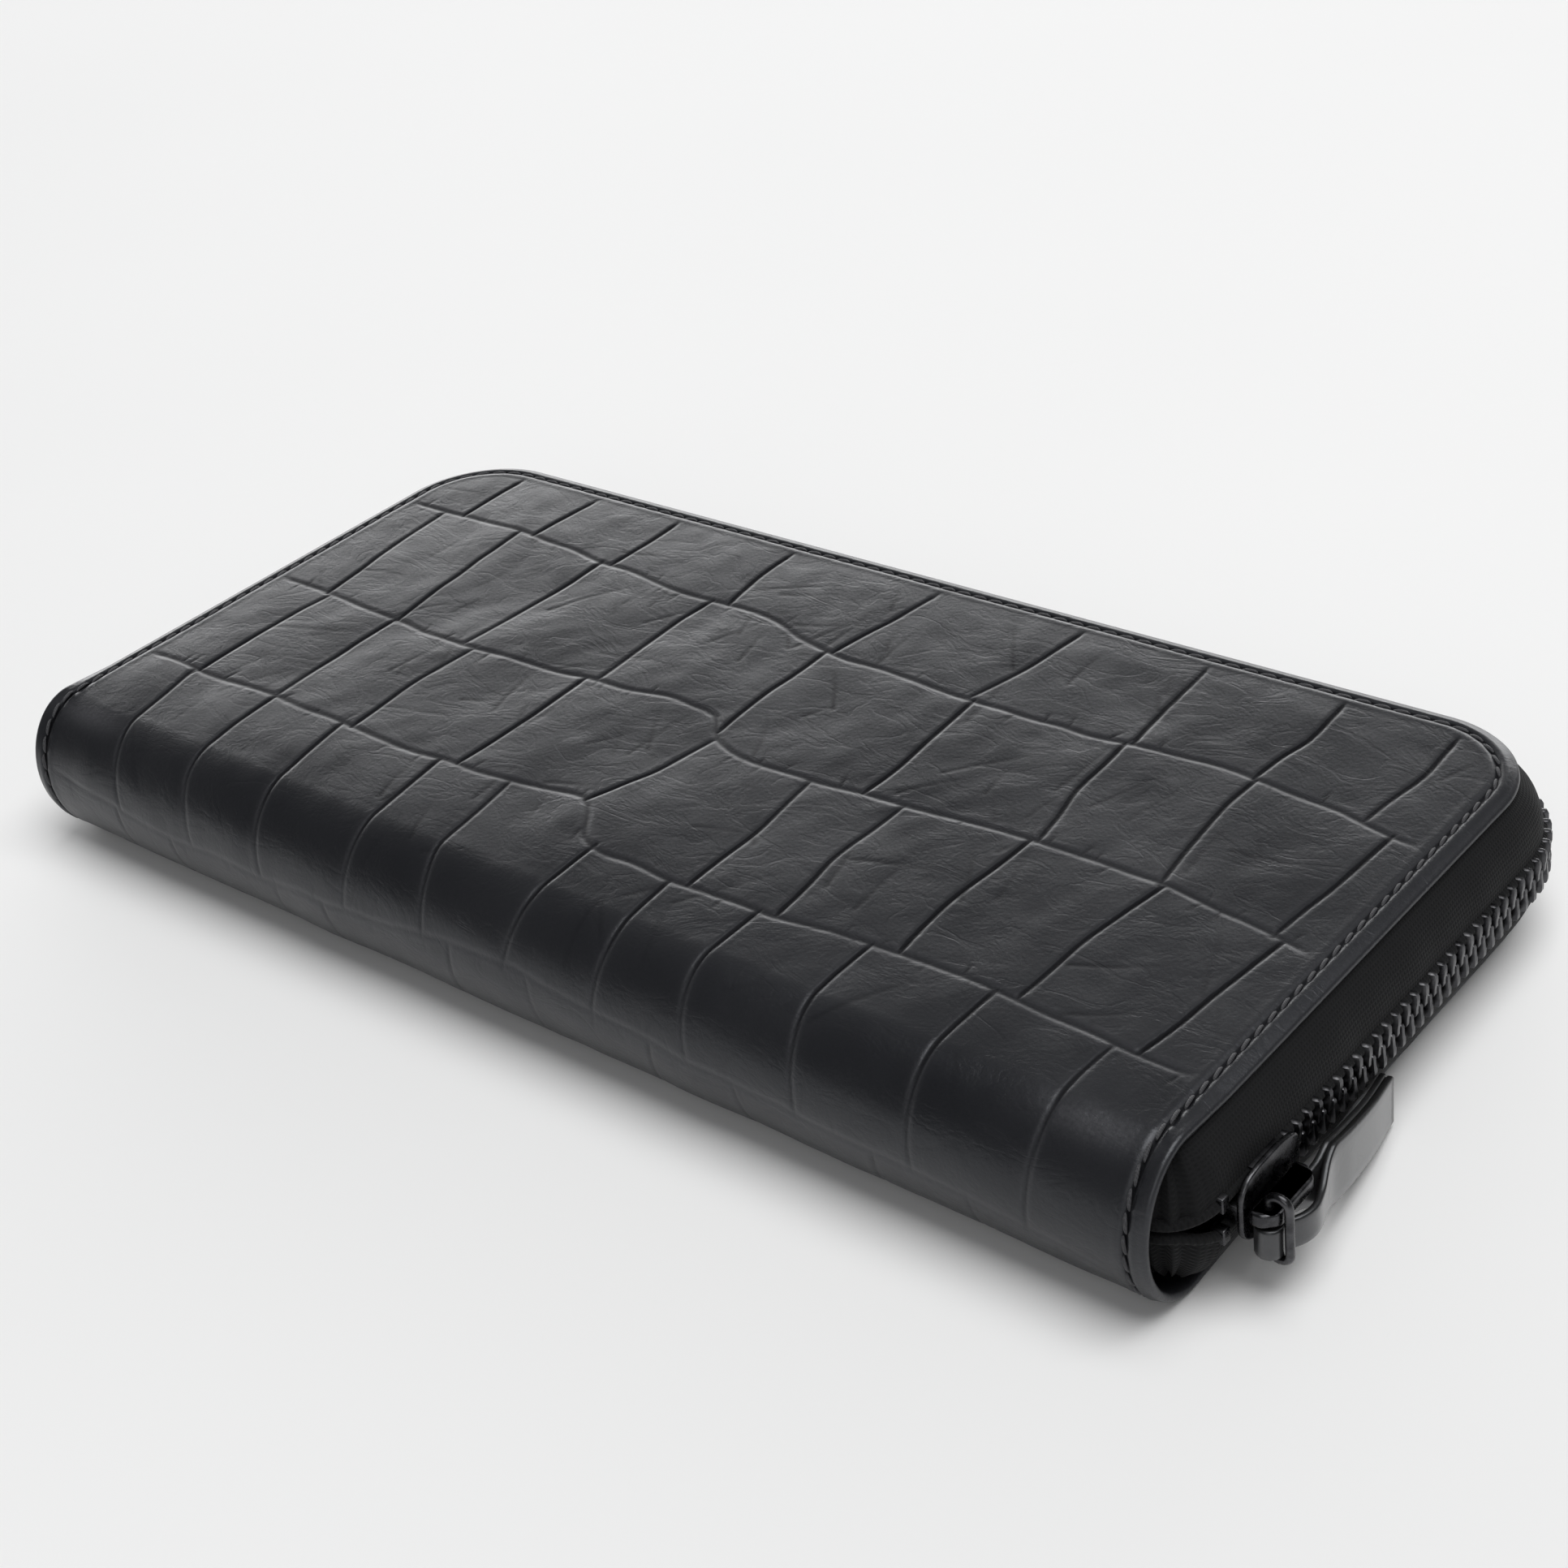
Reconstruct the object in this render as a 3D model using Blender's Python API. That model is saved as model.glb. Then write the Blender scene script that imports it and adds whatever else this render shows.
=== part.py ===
"""Zip-around long wallet in embossed leather, closed and lying flat.

Frame: X along the length, Y from the spine (-Y) to the long zipped edge (+Y), Z up.
The origin is on the bottom face, under the middle of the covers.
All sizes are in millimetres and are turned into metres where a mesh is made.
"""
import math

import bpy
import bmesh
from mathutils import Matrix, Vector

# ---------------------------------------------------------------- driving dimensions (mm)
MM = 0.001
LENGTH = 195.0            # cover, along X
DEPTH = 96.0              # cover, spine to long zipped edge
HEIGHT = 22.5             # closed thickness
CORNER_R = 15.0           # rounded corners at the zipped edge
SPINE_R = 9.0             # how far the rounded spine reaches back along Y
BULGE = 2.9               # the zip chain stands this far outside the cover edge
GAP = 0.3                 # clearance between touching layers

LEATHER = 1.2             # cover leather
BOARD = 0.5               # stiffening board
LINING = 0.4              # lining and card leather
TAPE = 0.6                # zip tape
POCKETS = 3               # stepped card pockets on each side

PITCH = 2.6               # teeth of both zips
CHAIN_THICK = 2.4         # outer chain, across its faces
CHAIN_HALF = 3.2          # outer chain, from its middle to the bead's far side
BEAD = 1.5                # bead width of the outer chain
TOOTH_REACH = 0.6         # a tooth passes the middle by this much
TOOTH_WIDTH = 1.0

SLIDER_FRONT = -37.0      # slider at rest, along Y on the right end
SLIDER_LENGTH = 12.0

# ---------------------------------------------------------------- derived places (mm)
HALF_L = LENGTH / 2
FRONT_Y = -DEPTH / 2
BACK_Y = DEPTH / 2
MID_Z = HEIGHT / 2
ARC_Y = BACK_Y - CORNER_R            # where the corner arcs begin along Y
ARC_X = HALF_L - CORNER_R            # and along X
FLAT_Y = FRONT_Y + SPINE_R           # where the spine meets the flat faces
BOARD_Z = LEATHER + GAP
LINING_Z = BOARD_Z + BOARD + GAP
PANEL_Z = LINING_Z + LINING + GAP
LAYER = LINING + GAP
CHAIN_X = HALF_L + BULGE             # middle plane of the chain on the right end
SLIDER_BACK = SLIDER_FRONT + SLIDER_LENGTH

# ---------------------------------------------------------------- scene and materials
for old in list(bpy.data.objects):
    bpy.data.objects.remove(old, do_unlink=True)


def material(name, colour, roughness, metallic=0.0):
    mat = bpy.data.materials.new(name)
    mat.use_nodes = True
    shader = mat.node_tree.nodes["Principled BSDF"]
    shader.inputs["Base Color"].default_value = (*colour, 1.0)
    shader.inputs["Roughness"].default_value = roughness
    shader.inputs["Metallic"].default_value = metallic
    return mat


EMBOSSED = material("embossed_leather", (0.030, 0.031, 0.034), 0.42)
SMOOTH = material("smooth_leather", (0.045, 0.045, 0.048), 0.38)
PULL_LEATHER = material("pull_leather", (0.060, 0.060, 0.063), 0.30)
CARD_LEATHER = material("card_leather", (0.035, 0.034, 0.036), 0.50)
BOARD_FIBRE = material("board_fibre", (0.22, 0.19, 0.15), 0.85)
LINING_CLOTH = material("lining_cloth", (0.040, 0.040, 0.044), 0.80)
TAPE_CLOTH = material("tape_cloth", (0.012, 0.012, 0.013), 0.85)
GUNMETAL = material("gunmetal", (0.10, 0.10, 0.105), 0.30, 1.0)


# ---------------------------------------------------------------- mesh helpers
def vector(point):
    return Vector(point) * MM


def finish(name, bm, mat, origin=(0.0, 0.0, 0.0), smooth=False):
    """Turn a bmesh made in world millimetres into a named object with its origin at origin."""
    bmesh.ops.recalc_face_normals(bm, faces=bm.faces)
    mesh = bpy.data.meshes.new(name)
    bmesh.ops.translate(bm, verts=bm.verts, vec=-vector(origin))
    bm.to_mesh(mesh)
    bm.free()
    if smooth:
        mesh.shade_smooth()
        mesh.set_sharp_from_angle(angle=math.radians(35))
    obj = bpy.data.objects.new(name, mesh)
    obj.location = vector(origin)
    bpy.context.scene.collection.objects.link(obj)
    obj.data.materials.append(mat)
    return obj


def ring_loft(rings, closed=False):
    """Join rings of points, all of one count, into a tube; its ends are capped unless it closes."""
    bm = bmesh.new()
    loops = [[bm.verts.new(vector(p)) for p in ring] for ring in rings]
    count = len(loops[0])
    spans = len(loops) if closed else len(loops) - 1
    for i in range(spans):
        low, high = loops[i], loops[(i + 1) % len(loops)]
        for j in range(count):
            k = (j + 1) % count
            bm.faces.new((low[j], low[k], high[k], high[j]))
    if not closed:
        bm.faces.new(loops[0])
        bm.faces.new(loops[-1])
    return bm


def prism(outline, low, high, axis="z"):
    """Extrude a 2D outline from low to high along one axis; the outline is in the other two."""
    def place(a, b, c):
        return {"x": (c, a, b), "y": (a, c, b), "z": (a, b, c)}[axis]
    return ring_loft([[place(a, b, low) for a, b in outline], [place(a, b, high) for a, b in outline]])


def box(name, low, high, mat):
    outline = [(low[0], low[1]), (high[0], low[1]), (high[0], high[1]), (low[0], high[1])]
    return finish(name, prism(outline, low[2], high[2]), mat)


def united(name, bodies, mat, origin=(0.0, 0.0, 0.0)):
    """Boolean union of overlapping closed meshes, applied, as one object."""
    base = finish(name, bodies[0], mat)
    for i, body in enumerate(bodies[1:]):
        tool = finish(f"{name}_tool_{i}", body, mat)
        modifier = base.modifiers.new("union", "BOOLEAN")
        modifier.operation = "UNION"
        modifier.solver = "EXACT"
        modifier.object = tool
        evaluated = base.evaluated_get(bpy.context.evaluated_depsgraph_get())
        joined = bpy.data.meshes.new_from_object(evaluated)
        base.modifiers.remove(modifier)
        base.data = joined
        bpy.data.objects.remove(tool, do_unlink=True)
    base.data.transform(Matrix.Translation(-vector(origin)))
    base.location = vector(origin)
    base.data.materials.clear()
    base.data.materials.append(mat)
    return base


def plate_outline(half_x, front_y, back_y, radius, steps=6):
    """Rectangle with two rounded back corners, counter-clockwise from the front left."""
    points = [(-half_x, front_y), (half_x, front_y)]
    for k in range(steps + 1):
        angle = math.radians(90 * k / steps)
        points.append((half_x - radius + radius * math.cos(angle),
                       back_y - radius + radius * math.sin(angle)))
    for k in range(steps + 1):
        angle = math.radians(90 + 90 * k / steps)
        points.append((-half_x + radius + radius * math.cos(angle),
                       back_y - radius + radius * math.sin(angle)))
    return points


def mirror_z(z, side):
    """A height in the lower half (side -1), or its mirror image in the upper half (side 1)."""
    return z if side < 0 else HEIGHT - z


def plate(name, side, margin, front_y, back_margin, z, thick, mat):
    """A flat layer of one cover: margin is kept at both ends, back_margin at the zipped edge."""
    radius = max(CORNER_R - margin, 3.0)
    outline = plate_outline(HALF_L - margin, front_y, BACK_Y - back_margin, radius)
    low, high = sorted((mirror_z(z, side), mirror_z(z + thick, side)))
    return finish(name, prism(outline, low, high), mat)


# ---------------------------------------------------------------- covers
def spine_point(angle, inset):
    """A point of the spine's half-ellipse; angle 0 is the fold at mid height, 90 the flat face."""
    a = SPINE_R - inset
    b = MID_Z - inset
    return FLAT_Y - a * math.cos(angle), MID_Z - b * math.sin(angle)


def shell_half(name, side, inset, thick, margin, mat, back_y=None, steps=7):
    """One half of a sheet that wraps the spine: the quarter arc from the fold, then the flat."""
    start = math.asin((GAP / 2) / (MID_Z - inset))
    stations = []
    for k in range(steps + 1):
        angle = start + (math.pi / 2 - start) * k / steps
        stations.append((spine_point(angle, inset), spine_point(angle, inset + thick)))
    if back_y is not None:
        # the flat face, closing in round the back corners
        for y in [ARC_Y] + [ARC_Y + CORNER_R * math.sin(math.radians(10 * k)) for k in range(1, 10)]:
            stations.append(((y, inset), (y, inset + thick)))
    rings = []
    for (outer_y, outer_z), (inner_y, inner_z) in stations:
        beyond = max(outer_y - ARC_Y, 0.0)
        half_x = HALF_L - margin
        if beyond > 0:
            half_x = ARC_X + math.sqrt(max(CORNER_R ** 2 - beyond ** 2, 0.0))
        outer_z, inner_z = mirror_z(outer_z, side), mirror_z(inner_z, side)
        rings.append([(-half_x, outer_y, outer_z), (half_x, outer_y, outer_z),
                      (half_x, inner_y, inner_z), (-half_x, inner_y, inner_z)])
    return finish(name, ring_loft(rings), mat, smooth=True)


def covers(side, word):
    shell_half(f"cover_leather_{word}", side, 0.0, LEATHER, 0.0, EMBOSSED, back_y=BACK_Y)
    spine_inset = LEATHER + GAP
    shell_half(f"spine_strip_{word}", side, spine_inset, 0.6, 6.0, SMOOTH)
    plate(f"cover_board_{word}", side, 11.0, FLAT_Y + 1.0, 11.0, BOARD_Z, BOARD, BOARD_FIBRE)
    plate(f"lining_{word}", side, 4.0, FLAT_Y + 1.0, 4.0, LINING_Z, LINING, LINING_CLOTH)


# ---------------------------------------------------------------- zip along the three open sides
ARC_STEPS = 8             # straight pieces in each corner of the path


def path_stations(start_y, end_y):
    """The U path of the zip: right end, back, left end.

    Returns the distances where it bends, measured along the chain, and a function that gives
    the point at a distance s and n outside the cover edge.
    """
    arc = (CORNER_R + BULGE) * math.pi / 2
    right = ARC_Y - start_y
    back = 2 * ARC_X
    knots = [0.0]
    knots += [right + arc * k / ARC_STEPS for k in range(ARC_STEPS + 1)]
    knots += [right + arc + back + arc * k / ARC_STEPS for k in range(ARC_STEPS + 1)]
    knots.append(right + 2 * arc + back + ARC_Y - end_y)
    return knots, lambda s, n: u_point(s, n, right, arc, back, start_y)


def u_point(s, n, right, arc, back, start_y):
    """The point at distance s along the U path, n outside the cover edge."""
    if s <= right:
        return HALF_L + n, start_y + s
    s -= right
    if s <= arc:
        angle = math.pi / 2 * s / arc
        return ARC_X + (CORNER_R + n) * math.cos(angle), ARC_Y + (CORNER_R + n) * math.sin(angle)
    s -= arc
    if s <= back:
        return ARC_X - s, BACK_Y + n
    s -= back
    if s <= arc:
        angle = math.pi / 2 + math.pi / 2 * s / arc
        return -ARC_X + (CORNER_R + n) * math.cos(angle), ARC_Y + (CORNER_R + n) * math.sin(angle)
    s -= arc
    return -HALF_L - n, ARC_Y - s


TAPE_START = -38.5        # both tapes begin and end here, beside the spine
TAPE_TOP = MID_Z - CHAIN_HALF - GAP
TAPE_FOOT = 0.8           # the tape's wall starts this far inside the cover edge
FLANGE = 7.0              # how far the sewn edge of the tape reaches in under the leather
SWELL = 2.6               # power of the wall's curve: higher is fuller near the foot
WALL_STEPS = 5


def tape_profile():
    """Closed outline (n, z) of the lower tape: a sewn flange and a wall that swells outward."""
    outer = [(-TAPE_FOOT, BOARD_Z)]
    inner = [(-TAPE_FOOT - TAPE, BOARD_Z + TAPE)]
    for k in range(1, WALL_STEPS + 1):
        rise = k / WALL_STEPS
        z = BOARD_Z + (TAPE_TOP - BOARD_Z) * rise
        n = -TAPE_FOOT + (BULGE + TAPE_FOOT + TAPE / 2) * (1 - (1 - rise) ** SWELL)
        outer.append((n, z))
        inner.append((n - TAPE, max(z, BOARD_Z + TAPE + TAPE * k / 2)))
    flange = [(-FLANGE, BOARD_Z + TAPE), (-FLANGE, BOARD_Z)]
    return outer + inner[::-1] + flange


def zip_tape(side, word):
    knots, point = path_stations(TAPE_START, TAPE_START)
    profile = tape_profile()
    rings = []
    for s in knots:
        ring = []
        for n, z in profile:
            x, y = point(s, n)
            ring.append((x, y, mirror_z(z, side)))
        rings.append(ring)
    finish(f"zip_tape_{word}", ring_loft(rings), TAPE_CLOTH, smooth=True)


def comb(name, knots, point, teeth, low, high, tip, half_thick, mat):
    """A bead with teeth, as one closed body.

    point(s, n) gives the two path coordinates, and a height is added by the caller's axes.
    teeth is a list of (start, end) distances; between them only the bead stands.
    """
    bm = bmesh.new()
    ordered = sorted(set(knots) | {edge for tooth in teeth for edge in tooth})
    starts = {a for a, _ in teeth}
    rows = []
    for s in ordered:
        inner, outer = point(s, -half_thick), point(s, half_thick)
        rows.append([bm.verts.new(vector(p)) for p in
                     (inner(low), outer(low), outer(high), inner(high))])
    bm.faces.new(rows[0])
    bm.faces.new(rows[-1])
    tips = {}
    inside = False
    for i in range(len(ordered) - 1):
        a, b = rows[i], rows[i + 1]
        for j, k in ((0, 1), (1, 2), (3, 0)):
            bm.faces.new((a[j], a[k], b[k], b[j]))
        if ordered[i] in starts:
            inside = True
        if not inside:
            bm.faces.new((a[2], a[3], b[3], b[2]))
            continue
        for index, row in ((i, a), (i + 1, b)):
            if index not in tips:
                s = ordered[index]
                tips[index] = [bm.verts.new(vector(point(s, half_thick)(tip))),
                               bm.verts.new(vector(point(s, -half_thick)(tip)))]
        ta, tb = tips[i], tips[i + 1]
        bm.faces.new((ta[0], ta[1], tb[1], tb[0]))
        bm.faces.new((a[2], ta[0], tb[0], b[2]))
        bm.faces.new((a[3], ta[1], tb[1], b[3]))
        if ordered[i] in starts:
            bm.faces.new((a[2], a[3], ta[1], ta[0]))
        if any(abs(ordered[i + 1] - end) < 1e-9 for _, end in teeth):
            bm.faces.new((b[2], b[3], tb[1], tb[0]))
            inside = False
    return finish(name, bm, mat)


CHAIN_START = SLIDER_BACK + 0.8
CHAIN_END = -29.5         # along Y on the left end
FIRST_TOOTH = 0.6         # bare bead before the first tooth


def tooth_spans(length, side):
    """Start and end of each tooth along a chain; the two rows are half a pitch apart."""
    first = FIRST_TOOTH + (0.0 if side < 0 else PITCH / 2)
    count = int((length - first - PITCH) / PITCH)
    return [(first + PITCH * i, first + PITCH * i + TOOTH_WIDTH) for i in range(count)]


def zip_teeth(side, word):
    knots, point = path_stations(CHAIN_START, CHAIN_END)
    teeth = [(a, b) for a, b in tooth_spans(knots[-1], side)
             if not any(a < knot < b for knot in knots)]

    def place(s, n):
        x, y = point(s, BULGE + n)
        return lambda z: (x, y, mirror_z(z, side))
    comb(f"zip_teeth_{word}", knots, place, teeth, MID_Z - CHAIN_HALF, MID_Z - CHAIN_HALF + BEAD,
         MID_Z + TOOTH_REACH, CHAIN_THICK / 2, GUNMETAL)


def zip_stops():
    """Clamps at the chain's closed end, one on each tape, and the box at its far end."""
    half = 0.9
    for side, word in ((-1, "lower"), (1, "upper")):
        low, high = sorted((mirror_z(MID_Z - CHAIN_HALF, side), mirror_z(MID_Z - 1.2, side)))
        box(f"zip_top_stop_{word}", (CHAIN_X - half, SLIDER_FRONT - 1.6, low),
            (CHAIN_X + half, SLIDER_FRONT - GAP, high), GUNMETAL)
    box("zip_bottom_box", (-CHAIN_X - 1.3, CHAIN_END - 4.3, MID_Z - CHAIN_HALF),
        (-CHAIN_X + 1.3, CHAIN_END - GAP, MID_Z - 0.2), GUNMETAL)


# ---------------------------------------------------------------- sliders
def channel(width, inner_depth, outer_depth, lip, slot):
    """Half of a slider: a plate with two lips, as an outline (across, out) for extrusion."""
    return [(-width, outer_depth), (width, outer_depth), (width, slot), (width - lip, slot),
            (width - lip, inner_depth), (-width + lip, inner_depth), (-width + lip, slot),
            (-width, slot)]


SLIDER_WIDTH = 4.6        # half width across the chain
SLIDER_INNER = CHAIN_THICK / 2 + 0.2
SLIDER_OUTER = SLIDER_INNER + 0.8
BAIL_HALF = 1.2           # half width of the bridge
WINDOW_LOW = SLIDER_OUTER + 2.7     # the bridge's inner and outer faces, out from the chain
WINDOW_HIGH = WINDOW_LOW + 0.8
RING_WIRE = 0.55          # radius of the link's wire
STRAP_PLY = 0.85          # one ply of the leather pull
FOLD = RING_WIRE + 0.15   # inner radius of the strap's fold round the link
RING_X = CHAIN_X + SLIDER_OUTER + GAP + STRAP_PLY + FOLD
RING_Y = SLIDER_FRONT + 2.3


def main_slider():
    """Two lipped plates joined by the wedge that parts the teeth, and the bridge that holds the link."""
    outline = channel(SLIDER_WIDTH, SLIDER_INNER, SLIDER_OUTER, 0.9, 0.6)
    bodies = []
    for flip in (1, -1):
        side = [(CHAIN_X + flip * out, MID_Z + across) for across, out in outline]
        rings = []
        for y, narrow in ((SLIDER_FRONT, 0.92), (SLIDER_FRONT + 1.2, 1.0), (SLIDER_BACK - 3.0, 1.0),
                          (SLIDER_BACK, 0.94)):
            rings.append([(x, y, MID_Z + (z - MID_Z) * narrow) for x, z in side])
        bodies.append(ring_loft(rings))
    wedge = [(SLIDER_FRONT + 0.4, -1.3), (SLIDER_FRONT + 4.6, 0.0), (SLIDER_FRONT + 0.4, 1.3)]
    rings = []
    for x in (CHAIN_X - SLIDER_INNER - 0.4, CHAIN_X + SLIDER_INNER + 0.4):
        rings.append([(x, y, MID_Z + z) for y, z in wedge])
    bodies.append(ring_loft(rings))
    united("slider_body", bodies, GUNMETAL, (CHAIN_X, SLIDER_FRONT + SLIDER_LENGTH / 2, MID_Z))

    front, back = SLIDER_FRONT + 0.5, SLIDER_BACK - 1.6
    foot = SLIDER_OUTER + GAP
    leg, chamfer = 1.0, 1.1
    arch = [(foot, front), (WINDOW_HIGH - chamfer, front), (WINDOW_HIGH, front + chamfer),
            (WINDOW_HIGH, back - chamfer), (WINDOW_HIGH - chamfer, back), (foot, back), (foot, back - leg),
            (WINDOW_LOW, back - leg), (WINDOW_LOW, front + leg), (foot, front + leg)]
    outline = [(CHAIN_X + out, y) for out, y in arch]
    finish("slider_bail", prism(outline, MID_Z - BAIL_HALF, MID_Z + BAIL_HALF), GUNMETAL)


def wire_loop(name, centre_line, radius, mat, origin, sides=8):
    """A closed loop of round wire along centre_line, which lies in a plane of constant y."""
    rings = []
    count = len(centre_line)
    for i, (x, z) in enumerate(centre_line):
        before, after = centre_line[i - 1], centre_line[(i + 1) % count]
        along = Vector((after[0] - before[0], after[1] - before[1])).normalized()
        out = Vector((along.y, -along.x))
        ring = []
        for k in range(sides):
            turn = 2 * math.pi * k / sides
            reach = radius * math.cos(turn)
            ring.append((x + out.x * reach, RING_Y + radius * math.sin(turn), z + out.y * reach))
        rings.append(ring)
    return finish(name, ring_loft(rings, closed=True), mat, origin, smooth=True)


RING_SPAN = 2.45          # from the ring's inner bar to its outer bar
RING_LOW = 5.4
RING_HIGH = 15.0


def pull_ring():
    """The link through the bridge: a tall rounded loop with one bar in the window."""
    bend = 1.1
    points = []
    corners = [(RING_X + RING_SPAN - bend, RING_HIGH - bend, 0), (RING_X + bend, RING_HIGH - bend, 90),
               (RING_X + bend, RING_LOW + bend, 180), (RING_X + RING_SPAN - bend, RING_LOW + bend, 270)]
    for cx, cz, start in corners:
        for k in range(4):
            angle = math.radians(start + 30 * k)
            points.append((cx + bend * math.cos(angle), cz + bend * math.sin(angle)))
    wire_loop("pull_ring", points, RING_WIRE, GUNMETAL, (RING_X, RING_Y, MID_Z))


STRAP_END_Y = -4.0        # the cut end
STRAP_JOIN_Y = -24.0      # the plies lie together from here to the end
STRAP_WIDE_Y = -22.5      # the strap has its full width from here
STRAP_NECK_Y = -27.5      # and is a narrow neck before this
STRAP_NECK = (6.5, 9.65)  # lowest and highest z of the neck
STRAP_WIDE = (3.9, 12.2)  # of the wide part where it starts
STRAP_END = (0.5, 7.3)    # of the cut end, which droops to the table
STRAP_LEAN = 2.9          # the end leans in by this much towards the side wall


def strap_height(y):
    """Lowest and highest z of the strap at a distance along Y: a neck that widens and droops."""
    if y <= STRAP_NECK_Y:
        return STRAP_NECK
    if y >= STRAP_WIDE_Y:
        part = (y - STRAP_WIDE_Y) / (STRAP_END_Y - STRAP_WIDE_Y)
        return tuple(a + (b - a) * part for a, b in zip(STRAP_WIDE, STRAP_END))
    part = (y - STRAP_NECK_Y) / (STRAP_WIDE_Y - STRAP_NECK_Y)
    part = part * part * (3 - 2 * part)
    return tuple(a + (b - a) * part for a, b in zip(STRAP_NECK, STRAP_WIDE))


def strap_centre(y):
    """Where the two plies meet, across X: the tail leans in towards the side wall."""
    part = (y - STRAP_JOIN_Y) / (STRAP_END_Y - STRAP_JOIN_Y)
    return RING_X + 0.75 - STRAP_LEAN * max(0.0, part) ** 1.3


def pull_strap():
    """A leather strip folded round the link's inner bar, its plies meeting behind the loop."""
    steps = 8
    tail = [STRAP_END_Y + (STRAP_JOIN_Y - STRAP_END_Y) * k / steps for k in range(steps + 1)]
    half = 0.05 + STRAP_PLY / 2
    reach = FOLD + STRAP_PLY / 2
    line = [(strap_centre(y) - half, y) for y in tail]
    line += [(RING_X - reach + 0.2, RING_Y + 7.7), (RING_X - reach, RING_Y + 3.7)]
    for k in range(7):
        angle = math.radians(180 + 30 * k)
        line.append((RING_X + reach * math.cos(angle), RING_Y + reach * math.sin(angle)))
    line += [(RING_X + reach + 0.5, RING_Y + 3.7), (RING_X + reach + 0.7, RING_Y + 7.2)]
    line += [(strap_centre(y) + half, y) for y in reversed(tail)]
    rings = []
    for i, (x, y) in enumerate(line):
        before, after = line[max(i - 1, 0)], line[min(i + 1, len(line) - 1)]
        along = Vector((after[0] - before[0], after[1] - before[1])).normalized()
        out = Vector((along.y, -along.x)) * (STRAP_PLY / 2)
        low, high = strap_height(y)
        rings.append([(x - out.x, y - out.y, low), (x + out.x, y + out.y, low),
                      (x + out.x, y + out.y, high), (x - out.x, y - out.y, high)])
    finish("pull_strap", ring_loft(rings), PULL_LEATHER, (RING_X, RING_Y, 8.0), smooth=True)


# ---------------------------------------------------------------- inside
CARD_HALF = 88.5
CARD_FRONT = -36.0
CARD_BACK = 33.0


def card_side(side, word):
    low, high = sorted((mirror_z(PANEL_Z, side), mirror_z(PANEL_Z + LINING, side)))
    outline = plate_outline(CARD_HALF, CARD_FRONT, CARD_BACK, 6.0)
    finish(f"card_panel_{word}", prism(outline, low, high), CARD_LEATHER)
    for i in range(POCKETS):
        z = PANEL_Z + LAYER * (i + 1)
        low, high = sorted((mirror_z(z, side), mirror_z(z + LINING, side)))
        mouth = 22.0 - 12.0 * i
        outline = plate_outline(CARD_HALF, CARD_FRONT, mouth, 2.0)
        finish(f"card_pocket_{word}_{i + 1}", prism(outline, low, high), CARD_LEATHER)


COIN_HALF = 84.0
COIN_FRONT = -35.0
COIN_BACK = 24.0
COIN_HOLLOW = 1.0         # half the coin pocket's inner height
COIN_CHAIN_Y = 29.4
COIN_CHAIN_THICK = 1.6
COIN_SLIDER_X = 71.0
COIN_SLIDER_LENGTH = 10.0


def coin_pocket():
    for side, word in ((-1, "lower"), (1, "upper")):
        near = mirror_z(MID_Z - COIN_HOLLOW, side)
        far = mirror_z(MID_Z - COIN_HOLLOW - LINING, side)
        outline = plate_outline(COIN_HALF, COIN_FRONT, COIN_BACK, 4.0)
        finish(f"coin_panel_{word}", prism(outline, min(near, far), max(near, far)), CARD_LEATHER)
    rim = 2.0
    outline = [(-COIN_HALF, COIN_FRONT), (COIN_HALF, COIN_FRONT), (COIN_HALF, COIN_BACK - 6),
               (COIN_HALF - rim, COIN_BACK - 6), (COIN_HALF - rim, COIN_FRONT + rim),
               (-COIN_HALF + rim, COIN_FRONT + rim), (-COIN_HALF + rim, COIN_BACK - 6),
               (-COIN_HALF, COIN_BACK - 6)]
    reach = COIN_HOLLOW - GAP
    finish("coin_pocket_edge", prism(outline, MID_Z - reach, MID_Z + reach), LINING_CLOTH)


def coin_zip():
    """A small zip along the mouth of the coin pocket; its chain faces +Y."""
    skin = MID_Z - COIN_HOLLOW - LINING - GAP
    profile = [(COIN_CHAIN_Y - 0.2, MID_Z - 2.4), (COIN_CHAIN_Y - 0.2, MID_Z - 3.7),
               (COIN_CHAIN_Y - 1.9, MID_Z - 3.9), (COIN_BACK + 0.5, skin), (COIN_BACK - 6.0, skin),
               (COIN_BACK - 6.0, skin - 0.4), (COIN_BACK + 0.5, skin - 0.4),
               (COIN_CHAIN_Y - 2.0, MID_Z - 4.3), (COIN_CHAIN_Y + 0.2, MID_Z - 4.1),
               (COIN_CHAIN_Y + 0.2, MID_Z - 2.4)]
    reach = COIN_SLIDER_X + COIN_SLIDER_LENGTH / 2 + 4.0
    for side, word in ((-1, "lower"), (1, "upper")):
        outline = [(y, mirror_z(z, side)) for y, z in profile]
        finish(f"coin_tape_{word}", prism(outline, -reach, reach, "x"), TAPE_CLOTH)
        start = -reach + 3.0
        length = COIN_SLIDER_X - COIN_SLIDER_LENGTH / 2 - 0.8 - start

        def place(s, n, side=side, start=start):
            return lambda z: (start + s, COIN_CHAIN_Y + n, mirror_z(z, side))
        comb(f"coin_teeth_{word}", [0.0, length], place, tooth_spans(length, side),
             MID_Z - 2.1, MID_Z - 1.1, MID_Z + 0.5, COIN_CHAIN_THICK / 2, GUNMETAL)
    for flip, word in ((-1, "left"), (1, "right")):
        x = sorted((flip * (reach - 2.2), flip * (reach - 0.9)))
        box(f"coin_stop_{word}", (x[0], COIN_CHAIN_Y - 0.7, MID_Z - 2.0),
            (x[1], COIN_CHAIN_Y + 0.7, MID_Z + 2.0), GUNMETAL)


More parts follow.
